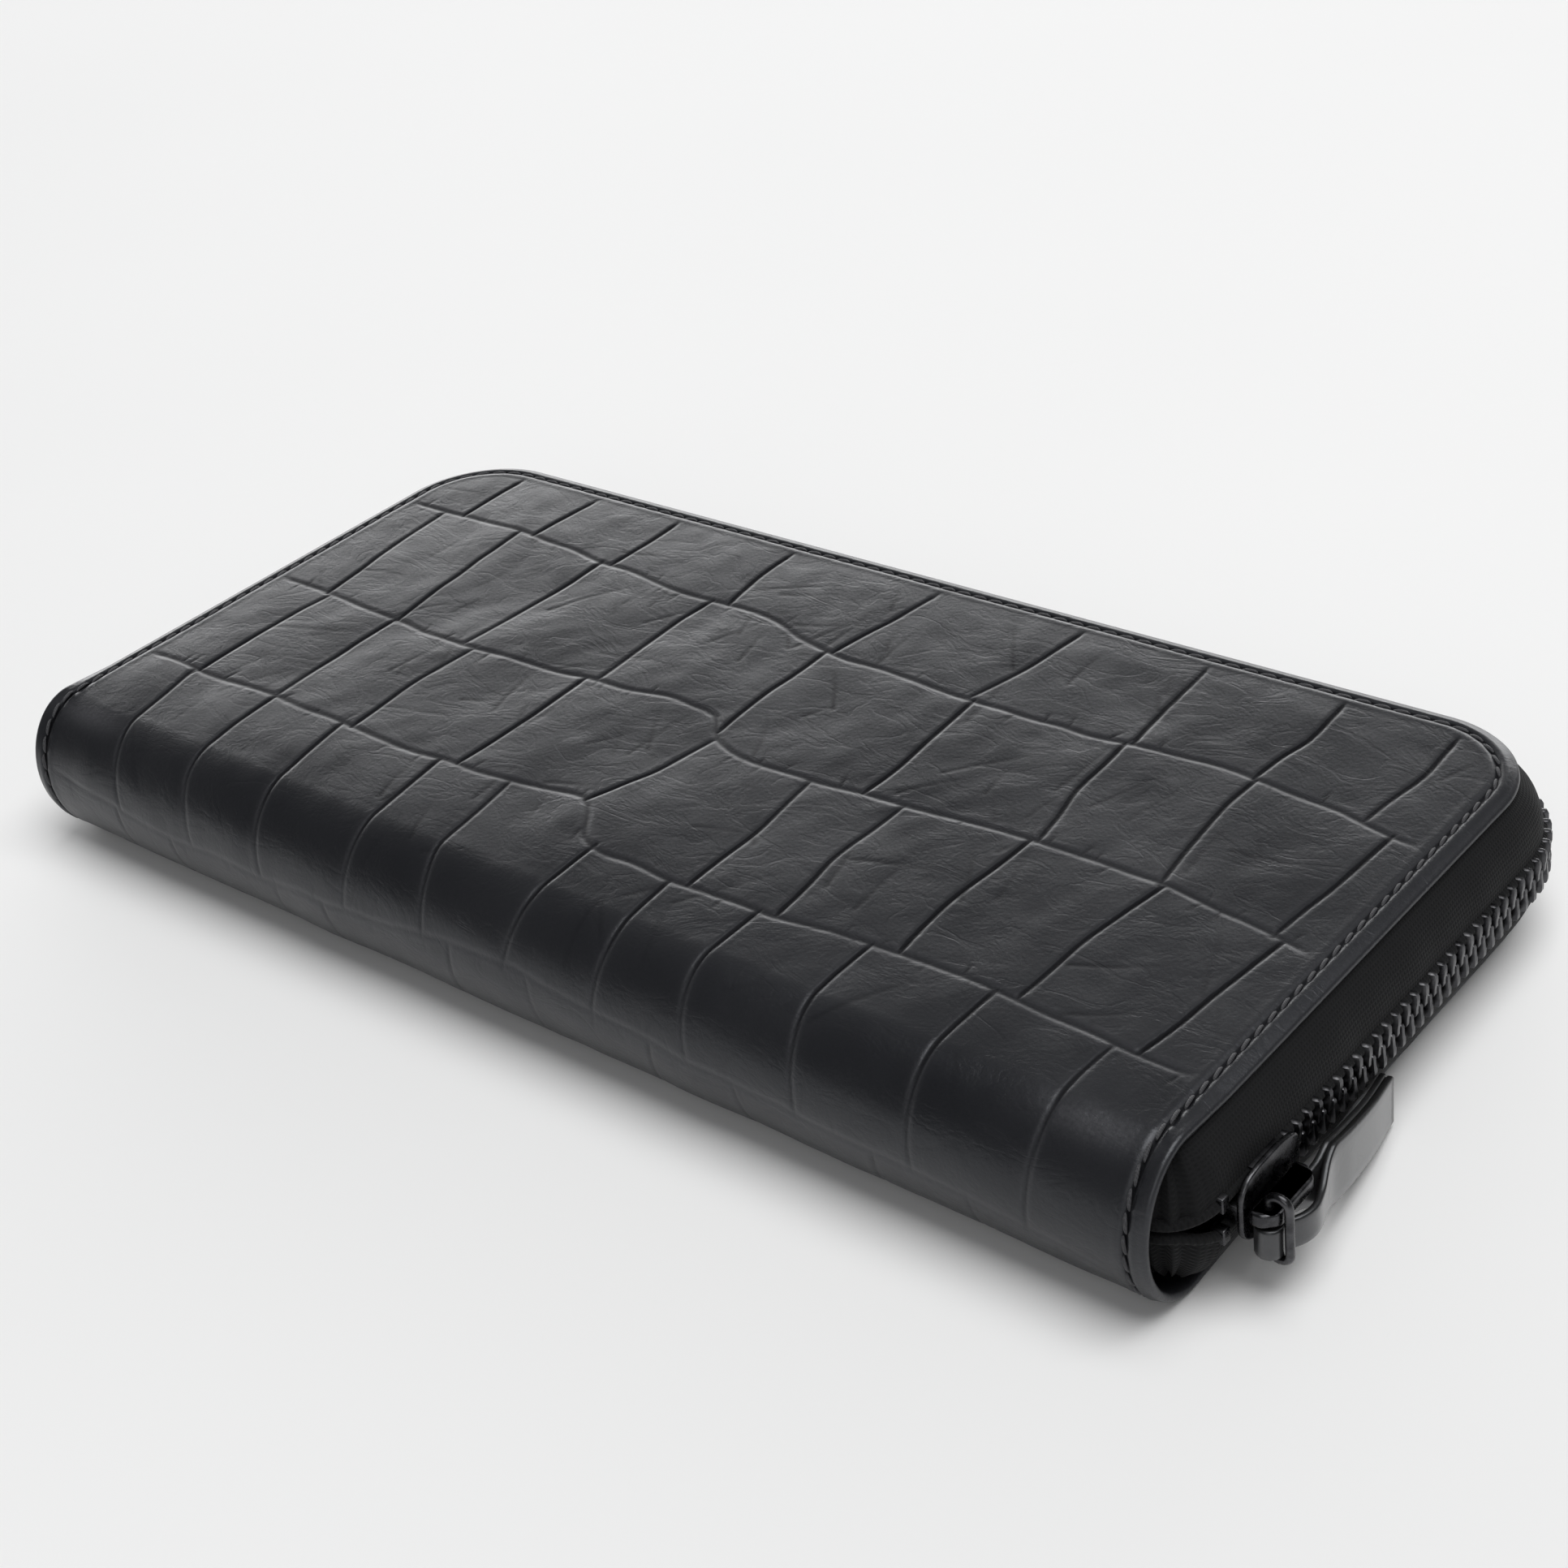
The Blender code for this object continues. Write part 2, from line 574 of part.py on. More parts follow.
def coin_slider():
    inner = COIN_CHAIN_THICK / 2 + 0.2
    outer = inner + 0.7
    outline = channel(3.1, inner, outer, 0.6, 0.45)
    low, high = COIN_SLIDER_X - COIN_SLIDER_LENGTH / 2, COIN_SLIDER_X + COIN_SLIDER_LENGTH / 2
    bodies = []
    for flip in (1, -1):
        side = [(COIN_CHAIN_Y + flip * out, MID_Z + across) for across, out in outline]
        bodies.append(prism(side, low, high, "x"))
    wedge = [(high - 0.4, MID_Z - 0.9), (high - 3.8, MID_Z), (high - 0.4, MID_Z + 0.9)]
    bodies.append(prism(wedge, COIN_CHAIN_Y - inner - 0.3, COIN_CHAIN_Y + inner + 0.3, "y"))
    united("coin_slider_body", bodies, GUNMETAL, (COIN_SLIDER_X, COIN_CHAIN_Y, MID_Z))

    foot = COIN_CHAIN_Y + outer + GAP
    top = foot + 2.3
    left, right = COIN_SLIDER_X - 3.6, COIN_SLIDER_X + 3.6
    arch = [(left, foot), (left, top), (right, top), (right, foot), (right - 0.9, foot),
            (right - 0.9, top - 0.8), (left + 0.9, top - 0.8), (left + 0.9, foot)]
    finish("coin_slider_bail", prism(arch, MID_Z - 0.9, MID_Z + 0.9), GUNMETAL)

    # the pull: a flat frame whose end bar lies in the bridge's window
    pivot_x, pivot_y = COIN_SLIDER_X - 1.6, foot + 0.7
    thick, half_wide, eye_half, length = 0.45, 2.3, 1.25, 15.0
    outline = [(0.5, -half_wide), (0.5, half_wide), (-length + 1.0, half_wide), (-length, half_wide - 1.0),
               (-length, -half_wide + 1.0), (-length + 1.0, -half_wide)]
    blade = [(pivot_x + a, MID_Z + b) for a, b in outline]
    body = prism(blade, pivot_y - thick, pivot_y + thick, "y")
    eye = [(pivot_x + a, MID_Z + b) for a, b in ((-0.5, -eye_half), (-0.5, eye_half),
                                                 (-6.5, eye_half), (-6.5, -eye_half))]
    tool = finish("coin_pull_eye", prism(eye, pivot_y - 2.0, pivot_y + 2.0, "y"), GUNMETAL)
    pull = finish("coin_pull", body, GUNMETAL, (pivot_x, pivot_y, MID_Z))
    cut = pull.modifiers.new("eye", "BOOLEAN")
    cut.operation = "DIFFERENCE"
    cut.solver = "EXACT"
    cut.object = tool
    tool.hide_render = True
    tool.display_type = "WIRE"


def gussets():
    """A pleated strip at each end: lower card panel, coin pocket, upper card panel."""
    thick = 0.4
    half_path = [(89.4, PANEL_Z + 0.1), (94.6, 7.0), (85.0, MID_Z)]
    path = half_path + [(x, HEIGHT - z) for x, z in reversed(half_path[:-1])]
    outline = [(x - thick / 2, z) for x, z in path] + [(x + thick / 2, z) for x, z in reversed(path)]
    for flip, word in ((-1, "left"), (1, "right")):
        side = [(flip * x, z) for x, z in outline]
        finish(f"gusset_{word}", prism(side, -37.0, 20.0, "y"), LINING_CLOTH)


# ---------------------------------------------------------------- the whole wallet
for half_side, half_word in ((-1, "lower"), (1, "upper")):
    covers(half_side, half_word)
    zip_tape(half_side, half_word)
    zip_teeth(half_side, half_word)
    card_side(half_side, half_word)
zip_stops()
main_slider()
pull_ring()
pull_strap()
coin_pocket()
coin_zip()
coin_slider()
gussets()
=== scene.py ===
"""Looks of the zip-around long wallet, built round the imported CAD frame.

Lengths are millimetres, turned into metres where a mesh is made. X runs along the wallet, Y from
the rounded spine to the long zipped edge, and Z up.
"""
import math
import random

import bmesh
import bpy
import numpy as np
from mathutils import Matrix, Vector


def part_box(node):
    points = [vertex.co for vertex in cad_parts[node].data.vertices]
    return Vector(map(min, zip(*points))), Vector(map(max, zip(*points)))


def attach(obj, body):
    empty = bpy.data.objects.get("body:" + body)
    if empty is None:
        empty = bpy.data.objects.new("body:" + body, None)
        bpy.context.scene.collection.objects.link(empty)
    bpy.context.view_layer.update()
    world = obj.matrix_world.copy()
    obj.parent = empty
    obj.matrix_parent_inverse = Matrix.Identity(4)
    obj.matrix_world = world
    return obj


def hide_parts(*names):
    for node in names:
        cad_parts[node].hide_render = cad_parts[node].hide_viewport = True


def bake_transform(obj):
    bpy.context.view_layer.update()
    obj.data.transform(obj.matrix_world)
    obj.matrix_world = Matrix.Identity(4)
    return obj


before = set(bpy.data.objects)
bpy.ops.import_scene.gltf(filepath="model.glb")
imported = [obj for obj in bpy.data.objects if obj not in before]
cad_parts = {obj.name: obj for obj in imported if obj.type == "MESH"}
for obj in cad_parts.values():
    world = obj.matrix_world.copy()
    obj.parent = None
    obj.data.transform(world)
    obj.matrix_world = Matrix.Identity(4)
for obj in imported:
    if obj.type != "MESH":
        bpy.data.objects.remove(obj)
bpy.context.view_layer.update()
MM = 0.001


# ---------------------------------------------------------------- sizes (mm)
def box(node):
    """Lowest and highest corner of a CAD node at rest, in millimetres."""
    low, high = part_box(node)
    return [c / MM for c in low], [c / MM for c in high]


COVER_LOW, COVER_HIGH = box("cover_leather_lower")
HALF_L = COVER_HIGH[0]                    # half the cover's length
FRONT_Y, BACK_Y = COVER_LOW[1], COVER_HIGH[1]
HEIGHT = box("cover_leather_upper")[1][2]
MID_Z = HEIGHT / 2
CORNER_R = 15.0                           # rounded corners at the zipped edge
SPINE_R = 9.0                             # how far the rounded spine reaches back along Y
LEATHER = 1.2                             # cover leather
CHAIN_X = (box("slider_body")[0][0] + box("slider_body")[1][0]) / 2
BULGE = CHAIN_X - HALF_L                  # the zip chain stands this far outside the cover edge
PITCH = 2.2                               # teeth of both zips
FOLD_Y = FRONT_Y + SPINE_R                # where the spine meets the flat faces
FLAT = BACK_Y - FOLD_Y                    # depth of each flat face
GRAIN = 0.3        # spacing of the cover's mesh

# ---------------------------------------------------------------- the cover's leather, laid flat
# x is along the wallet. s is 0 where the top face meets the spine, rises to FLAT at the top's
# zipped edge, and falls round the spine and along the underside to its zipped edge.
TURN = np.linspace(math.pi / 2, -math.pi / 2, 721)
STEP = np.hypot(SPINE_R * np.sin(TURN[1:]), MID_Z * np.cos(TURN[1:])) * (TURN[0] - TURN[1])
ROUND = np.concatenate([[0.0], np.cumsum(STEP)])
SPINE = ROUND[-1]                         # length of leather round the spine
S_MID = -SPINE / 2
HALF_S = SPINE / 2 + FLAT


def place(x, s, inset=0.0):
    """Where a point of the flat leather is in space, inset below the cover's outer face."""
    x, s, inset = np.broadcast_arrays(np.asarray(x, float), s, inset)
    turn = np.interp(-s, ROUND, TURN)
    y = FOLD_Y - (SPINE_R - inset) * np.cos(turn) + np.maximum(s, 0) + np.maximum(-s - SPINE, 0)
    z = MID_Z + (MID_Z - inset) * np.sin(turn)
    return np.stack([x, y, z], -1)


def outward(s):
    """The cover's outward direction at s."""
    turn = np.interp(-np.asarray(s, float), ROUND, TURN)
    return np.stack([np.zeros_like(turn), -np.cos(turn), np.sin(turn)], -1)


def edge_distance(x, s):
    """How far a point of the flat leather is inside its edge."""
    a = np.abs(x) - (HALF_L - CORNER_R)
    b = np.abs(s - S_MID) - (HALF_S - CORNER_R)
    straight = np.minimum(HALF_L - np.abs(x), HALF_S - np.abs(s - S_MID))
    return np.where((a > 0) & (b > 0), CORNER_R - np.hypot(a, b), straight)


def half_width(s, margin):
    """Half the leather's width at s, margin inside its edge."""
    b = np.clip(np.abs(s - S_MID) - (HALF_S - CORNER_R), 0, CORNER_R - margin)
    return HALF_L - CORNER_R + np.sqrt((CORNER_R - margin) ** 2 - b ** 2)


# ---------------------------------------------------------------- mesh helpers
def make(name, points, faces, materials, body=None, slot=None, flat=None, smooth=True, marks=None):
    """A mesh piece from points in millimetres; flat and marks are kept as attributes for shading."""
    mesh = bpy.data.meshes.new(name)
    points = np.asarray(points, float).reshape(-1, 3)
    mesh.from_pydata((points * MM).tolist(), [], [tuple(int(i) for i in f) for f in faces])
    bm = bmesh.new()
    bm.from_mesh(mesh)
    bmesh.ops.recalc_face_normals(bm, faces=bm.faces)
    bm.to_mesh(mesh)
    bm.free()
    coordinates = points if flat is None else np.asarray(flat, float).reshape(-1, 3)
    layer = mesh.attributes.new("flat", "FLOAT_VECTOR", "POINT")
    layer.data.foreach_set("vector", coordinates.astype(np.float32).ravel())
    for word, values in (marks or {}).items():
        layer = mesh.attributes.new(word, "FLOAT", "POINT")
        layer.data.foreach_set("value", np.asarray(values, np.float32).ravel())
    if smooth:
        mesh.shade_smooth()
    for mat in materials if isinstance(materials, (list, tuple)) else [materials]:
        mesh.materials.append(mat)
    obj = bpy.data.objects.new(name, mesh)
    bpy.context.scene.collection.objects.link(obj)
    if body:
        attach(obj, body)
    return obj


class Pile:
    """Points and faces of many small parts, gathered into one mesh."""

    def __init__(self):
        self.points, self.faces, self.count = [], [], 0

    def add(self, points, faces):
        points = np.asarray(points, float).reshape(-1, 3)
        self.points.append(points)
        self.faces += [tuple(i + self.count for i in f) for f in faces]
        self.count += len(points)

    def make(self, name, *args, **kwargs):
        return make(name, np.concatenate(self.points), self.faces, *args, **kwargs)


def grid_faces(rows, cols, start=0):
    a = (np.arange(rows - 1)[:, None] * cols + np.arange(cols - 1)).ravel() + start
    return np.stack([a, a + 1, a + cols + 1, a + cols], 1).tolist()


def ring_faces(rings):
    """Faces between closed rings of point numbers, each ring joined to the next."""
    faces = []
    for low, high in zip(rings, rings[1:]):
        faces += np.stack([low, np.roll(low, -1), np.roll(high, -1), high], 1).tolist()
    return faces


def tube_faces(count, sides, closed=False):
    """Faces of a tube of count rings, each with the same number of points, capped unless closed."""
    rings = list(np.arange(count * sides).reshape(count, sides))
    if closed:
        return ring_faces(rings + rings[:1])
    return ring_faces(rings) + [rings[0].tolist(), rings[-1].tolist()]


def border(rows, cols):
    """Row and column of the grid's border points, once round."""
    first = [(0, j) for j in range(cols)]
    right = [(i, cols - 1) for i in range(1, rows)]
    last = [(rows - 1, j) for j in range(cols - 2, -1, -1)]
    left = [(i, 0) for i in range(rows - 2, 0, -1)]
    return np.array(first + right + last + left)


def smooth_line(points, step):
    """A Catmull-Rom curve through the points, in pieces of about step."""
    points = [np.array(p, float) for p in points]
    padded = [2 * points[0] - points[1]] + points + [2 * points[-1] - points[-2]]
    line = []
    for a, b, c, d in zip(padded, padded[1:], padded[2:], padded[3:]):
        pieces = max(int(np.linalg.norm(c - b) / step), 1)
        for k in range(pieces):
            t = k / pieces
            line.append(0.5 * (2 * b + (c - a) * t + (2 * a - 5 * b + 4 * c - d) * t ** 2
                               + (3 * b - a - 3 * c + d) * t ** 3))
    line.append(points[-1])
    return np.array(line)


# ---------------------------------------------------------------- shader helpers
class Look:
    """A material being made: its shader and short ways to add nodes."""

    def __init__(self, name, colour, roughness, metallic=0.0, values=()):
        self.mat = bpy.data.materials.new(name)
        self.mat.use_nodes = True
        self.nodes = self.mat.node_tree.nodes
        self.links = self.mat.node_tree.links
        self.shader = self.nodes["Principled BSDF"]
        self.shader.inputs["Base Color"].default_value = (*colour, 1.0)
        self.shader.inputs["Roughness"].default_value = roughness
        self.shader.inputs["Metallic"].default_value = metallic
        for socket, value in dict(values).items():
            self.shader.inputs[socket].default_value = value

    def set(self, socket, value):
        if isinstance(value, bpy.types.NodeSocket):
            self.links.new(value, socket)
        else:
            socket.default_value = value

    def add(self, kind, inputs=None, **settings):
        node = self.nodes.new(kind)
        for name, value in settings.items():
            setattr(node, name, value)
        for name, value in (inputs or {}).items():
            self.set(node.inputs[name], value)
        return node

    def attribute(self, name):
        return self.add("ShaderNodeAttribute", attribute_name=name)

    def flat(self, stretch=(1.0, 1.0, 1.0)):
        """The piece's own coordinates in millimetres, stretched."""
        vector = self.attribute("flat").outputs["Vector"]
        return self.add("ShaderNodeMapping", {"Vector": vector, "Scale": stretch}).outputs["Vector"]

    def noise(self, vector, scale, detail=4.0, rough=0.55, distortion=0.0):
        return self.add("ShaderNodeTexNoise", {
            "Vector": vector, "Scale": scale, "Detail": detail, "Roughness": rough,
            "Distortion": distortion}).outputs["Fac"]

    def math(self, operation, a, b=0.0):
        return self.add("ShaderNodeMath", {0: a, 1: b}, operation=operation).outputs[0]

    def spread(self, value, low, high, to_low=0.0, to_high=1.0):
        return self.add("ShaderNodeMapRange", {
            "Value": value, "From Min": low, "From Max": high, "To Min": to_low,
            "To Max": to_high}, clamp=True).outputs["Result"]

    def mix(self, factor, a, b):
        a, b = [c if isinstance(c, bpy.types.NodeSocket) else (*c, 1.0) for c in (a, b)]
        node = self.add("ShaderNodeMix", data_type="RGBA")
        for socket, value in ((node.inputs[0], factor), (node.inputs[6], a), (node.inputs[7], b)):
            self.set(socket, value)
        return node.outputs[2]

    def bump(self, height, depth, normal=None):
        """Relief of depth millimetres from a 0-to-1 height."""
        inputs = {"Height": height, "Distance": depth * MM, "Strength": 1.0}
        if normal is not None:
            inputs["Normal"] = normal
        return self.add("ShaderNodeBump", inputs).outputs["Normal"]

    def finish(self, colour=None, roughness=None, normal=None):
        for name, value in (("Base Color", colour), ("Roughness", roughness), ("Normal", normal)):
            if value is not None:
                self.set(self.shader.inputs[name], value)
        return self.mat


def leather(name, dark, light, roughness, pore=0.5, relief=0.02, highlight_and_wear=None, coat=0.0):
    """Grained leather: pores, soft wrinkles, patchy colour and gloss; a given lighter colour is painted
    on marked places (partly wear, partly painted highlight), and a second mark paints shade near-black
    into groove bottoms.
    """
    look = Look(name, dark, roughness, values={
        "Coat Weight": coat, "Coat Roughness": 0.28, "Specular Tint": (0.92, 0.945, 1.0, 1.0)})
    flat = look.flat()
    pores = look.add("ShaderNodeTexVoronoi", {"Vector": flat, "Scale": 1 / pore},
                     feature="SMOOTH_F1").outputs["Distance"]
    wrinkles = look.noise(look.flat((0.6, 1.0, 1.0)), 0.16, 5.0, 0.55, 1.0)
    ridged = look.math("ABSOLUTE", look.math("SUBTRACT", wrinkles, 0.5))
    fine = look.noise(flat, 1.9, 5.0, 0.68)
    patches = look.noise(flat, 0.035, 3.0, 0.5)
    height = look.math("ADD", look.math("MULTIPLY", pores, 0.4), fine)
    height = look.math("ADD", height, look.spread(ridged, 0.0, 0.06, 0.0, 0.5))
    colour = look.mix(look.spread(look.math("ADD", patches, look.math("MULTIPLY", fine, 0.4)),
                                  0.45, 0.95), dark, light)
    rough = look.spread(look.math("ADD", patches, look.math("MULTIPLY", wrinkles, 0.5)),
                        0.4, 1.1, roughness - 0.07, roughness + 0.07)
    if highlight_and_wear is not None:
        # lighter colour painted on the marked places: partly wear, partly painted highlight
        lips = look.attribute("lips").outputs["Fac"]
        lips = look.math("MULTIPLY", lips, look.spread(fine, 0.3, 0.7, 0.45, 1.0))
        # painted shade: the grooves' bottoms darkened towards black; they are also made rougher and less
        # shiny
        cavity = look.attribute("cavity").outputs["Fac"]
        colour = look.mix(cavity, look.mix(lips, colour, highlight_and_wear), (0.002, 0.002, 0.0025))
        rough = look.math("ADD", rough, look.math("MULTIPLY", cavity, 0.3))
        look.set(look.shader.inputs["Specular IOR Level"], look.spread(cavity, 0, 0.3, 0.5, 0.06))
    return look.finish(colour, rough, look.bump(height, relief))


def woven(name, dark, light, roughness, thread, relief):
    """A plain weave; thread is the spacing of its yarns in millimetres."""
    look = Look(name, dark, roughness, values={
        "Sheen Weight": 0.04, "Sheen Roughness": 0.5, "Specular IOR Level": 0.18})
    period = 2 * math.pi / 20 / thread
    waves = []
    for direction in ("X", "Y"):
        waves.append(look.add("ShaderNodeTexWave", {
            "Vector": look.flat(), "Scale": period, "Distortion": 0.6, "Detail": 1.0},
            bands_direction=direction).outputs["Fac"])
    height = look.math("MAXIMUM", look.math("MULTIPLY", waves[0], 0.8), waves[1])
    fuzz = look.noise(look.flat(), 1.5, 5.0, 0.65)
    colour = look.mix(look.math("MULTIPLY", height, fuzz), dark, light)
    return look.finish(colour, look.spread(fuzz, 0.3, 0.7, roughness - 0.06, roughness + 0.06),
                       look.bump(height, relief))


def metal(name, dark, light, roughness):
    """Plated metal with faint rubbed patches and hairline marks."""
    look = Look(name, dark, roughness, metallic=1.0)
    vector = look.add("ShaderNodeTexCoord").outputs["Object"]
    marks = look.add("ShaderNodeMapping", {"Vector": vector, "Scale": (300.0, 2600.0, 2600.0)})
    hair = look.noise(marks.outputs["Vector"], 1.0, 3.0, 0.6)
    rubbed = look.noise(vector, 420.0, 4.0, 0.6)
    colour = look.mix(look.spread(rubbed, 0.4, 0.7), dark, light)
    rough = look.spread(look.math("ADD", hair, rubbed), 0.7, 1.3, roughness - 0.08, roughness + 0.1)
    return look.finish(colour, rough, look.bump(hair, 0.004))


# the last colour given is painted on crease lips, edges and the spine's shoulders: partly wear, partly
# painted highlight
EMBOSSED = leather("embossed_leather", (0.0055, 0.0058, 0.0074), (0.0100, 0.0103, 0.0122), 0.34,
                   relief=0.031, highlight_and_wear=(0.065, 0.065, 0.070))
SMOOTH = leather("spine_leather", (0.014, 0.014, 0.015), (0.024, 0.024, 0.025), 0.45)
PULL = leather("pull_leather", (0.020, 0.020, 0.021), (0.034, 0.034, 0.035), 0.26, pore=0.45,
               relief=0.02, coat=0.5)
PAINT = leather("edge_paint", (0.006, 0.006, 0.006), (0.010, 0.010, 0.010), 0.35, relief=0.03,
                coat=0.3)
CARD = leather("card_leather", (0.022, 0.0215, 0.0225), (0.040, 0.039, 0.041), 0.5, relief=0.035)
LINING = woven("lining_cloth", (0.022, 0.022, 0.025), (0.055, 0.055, 0.062), 0.8, 0.35, 0.05)
TAPE = woven("zip_tape", (0.0035, 0.0037, 0.004), (0.010, 0.010, 0.011), 0.85, 0.55, 0.07)
THREAD = woven("thread", (0.034, 0.034, 0.037), (0.085, 0.085, 0.09), 0.5, 0.3, 0.03)
FIBRE = woven("board_fibre", (0.13, 0.11, 0.085), (0.24, 0.20, 0.15), 0.9, 0.8, 0.05)
GUNMETAL = metal("gunmetal", (0.045, 0.045, 0.048), (0.095, 0.095, 0.100), 0.27)
TEETH_METAL = metal("teeth_metal", (0.060, 0.060, 0.064), (0.125, 0.125, 0.130), 0.33)

# ---------------------------------------------------------------- embossed scales
# Long creases as (x, s): A to C on the top face, D low on the spine, E to G on the underside.
LONG = {
    "A": [(-97, 68), (-69, 68.5), (-50, 67), (-33, 65.5), (-16, 65.5), (-1, 61.5), (25, 60.5),
          (45, 60.5), (64, 62), (81, 60), (97, 57.5)],
    "B": [(-97, 40), (-69, 38.5), (-49, 38), (-26, 39.5), (-8, 41.2), (-3, 40), (1.5, 36), (8, 34),
          (17, 34), (34, 35.5), (60, 37), (84, 35), (97, 31.5)],
    "C": [(-97, 13), (-65, 13.5), (-41, 13), (-18, 14), (-5, 16), (-2, 13.5), (1.5, 9.5), (6, 8),
          (17, 7.7), (30, 8), (50, 10), (68, 10), (80, 8.8), (97, 8)],
    "D": [(-97, -13), (-68, -16.5), (-32, -16), (-2, -13.5), (27, -15.5), (52, -17), (75, -18),
          (97, -21)],
    "E": [(-97, -41), (-60, -44), (-22, -42), (10, -46), (45, -43), (97, -45)],
    "F": [(-97, -68), (-64, -66), (-25, -70), (12, -67), (52, -71), (97, -68)],
    "G": [(-97, -95), (-55, -98), (-12, -95), (30, -99), (66, -96), (97, -98)],
}
# Cross creases: the long creases that they join, and x at the lower and at the upper one.
CROSS = [
    ("A", FLAT - 3, [(-82, -82), (-66, -65), (-47.5, -47.5), (-22.5, -24), (0.5, 4), (25, 29),
                     (51, 49), (68.5, 69.5), (85, 86)]),
    ("B", "A", [(-82.5, -86), (-65.5, -69), (-50.5, -49.5), (-25, -25.5), (0, -0.5), (27, 26),
                (53, 50), (71, 69), (87.5, 89.5)]),
    ("C", "B", [(-82, -81.5), (-65, -66), (-48, -48), (-27, -27), (-4.5, 1.0), (20.5, 19),
                (34.5, 33.5), (52, 52), (69, 71.5), (86, 89)]),
    ("D", "C", [(-77, -83), (-61, -65), (-46, -50), (-28.5, -30), (-13, -17), (2, 4), (17.5, 17.8),
                (33, 32), (49.7, 48.2), (66.5, 66), (82, 83)]),
    ("E", "D", [(-80, -78), (-63, -66), (-45, -43), (-30, -33), (-10, -8), (8, 6), (24, 27),
                (42, 40), (58, 61), (77, 74)]),
    ("F", "E", [(-86, -83), (-66, -69), (-50, -48), (-31, -34), (-9, -7), (14, 11), (33, 35),
                (55, 52), (74, 76)]),
    ("G", "F", [(-79, -82), (-58, -56), (-39, -41), (-18, -16), (6, 3), (26, 29), (47, 45),
                (66, 69), (85, 83)]),
    (3 - 2 * HALF_S + FLAT, "G", [(-84, -82), (-64, -67), (-42, -40), (-20, -22), (1, 3), (25, 22),
                                  (46, 48), (69, 67), (86, 88)]),
]
CREASE_DEPTH = 0.19
CREASE_WIDTH = 0.30
LONG_DEPTH = 0.11         # the long creases are shallow, wide and worn; their lightened lips are partly wear, partly painted highlight
LONG_WIDTH = 0.48
TICK_WIDTH = 0.26
REACH = 6.0               # a crease changes nothing further away than this


def height_of(crease, x):
    """s of a long crease at x, or of a level line."""
    if not isinstance(crease, str):
        return crease
    points = np.array(LONG[crease])
    return float(np.interp(x, points[:, 0], points[:, 1]))


def creases():
    """All creases as (points, depth at the start, depth at the end, width)."""
    rng = random.Random(11)
    lines = []

    def wander(points, amount):
        line = smooth_line(points, 5.0)
        for point in line[1:-1]:
            point += [rng.uniform(-amount, amount), rng.uniform(-amount, amount)]
        return smooth_line(line, 1.6)

    for points in LONG.values():
        line = wander(points, 0.35)
        lines.append((line, LONG_DEPTH, LONG_DEPTH, LONG_WIDTH))
        for x, s in line:                      # short ticks where the leather puckers along it
            if rng.random() < 0.45:
                x, s = x + rng.uniform(-0.8, 0.8), s + rng.uniform(-0.5, 0.5)
                rise, lean = rng.choice((-1, 1)) * rng.uniform(1.2, 4.0), rng.uniform(-1.2, 1.2)
                lines.append((np.array([(x, s), (x + lean, s + rise)]), rng.uniform(0.04, 0.11), 0.0,
                              TICK_WIDTH))
    for low, high, ends in CROSS:
        for x_low, x_high in ends:
            s_low, s_high = height_of(low, x_low), height_of(high, x_high)
            bow = rng.uniform(-0.9, 0.9)
            middle = ((x_low + x_high) / 2 + bow, (s_low + s_high) / 2)
            fade = rng.uniform(0.45, 1.0)
            depths = [CREASE_DEPTH, CREASE_DEPTH * fade]
            if rng.random() < 0.5:
                depths.reverse()
            lines.append((wander([(x_low, s_low), middle, (x_high, s_high)], 0.25), *depths,
                          CREASE_WIDTH))
    for _ in range(260):                       # faint wrinkles inside the scales
        x, s = rng.uniform(-92, 92), rng.uniform(S_MID - HALF_S + 8, FLAT - 8)
        heading = math.radians(rng.choice((90, 62, 118, 20)) + rng.uniform(-14, 14))
        half = rng.uniform(2.5, 7.0)
        dx, ds = half * math.cos(heading), half * math.sin(heading)
        depth = rng.uniform(0.015, 0.05)
        lines.append((wander([(x - dx, s - ds), (x, s), (x + dx, s + ds)], 0.5), depth, depth * 0.2,
                      0.42))
    return lines


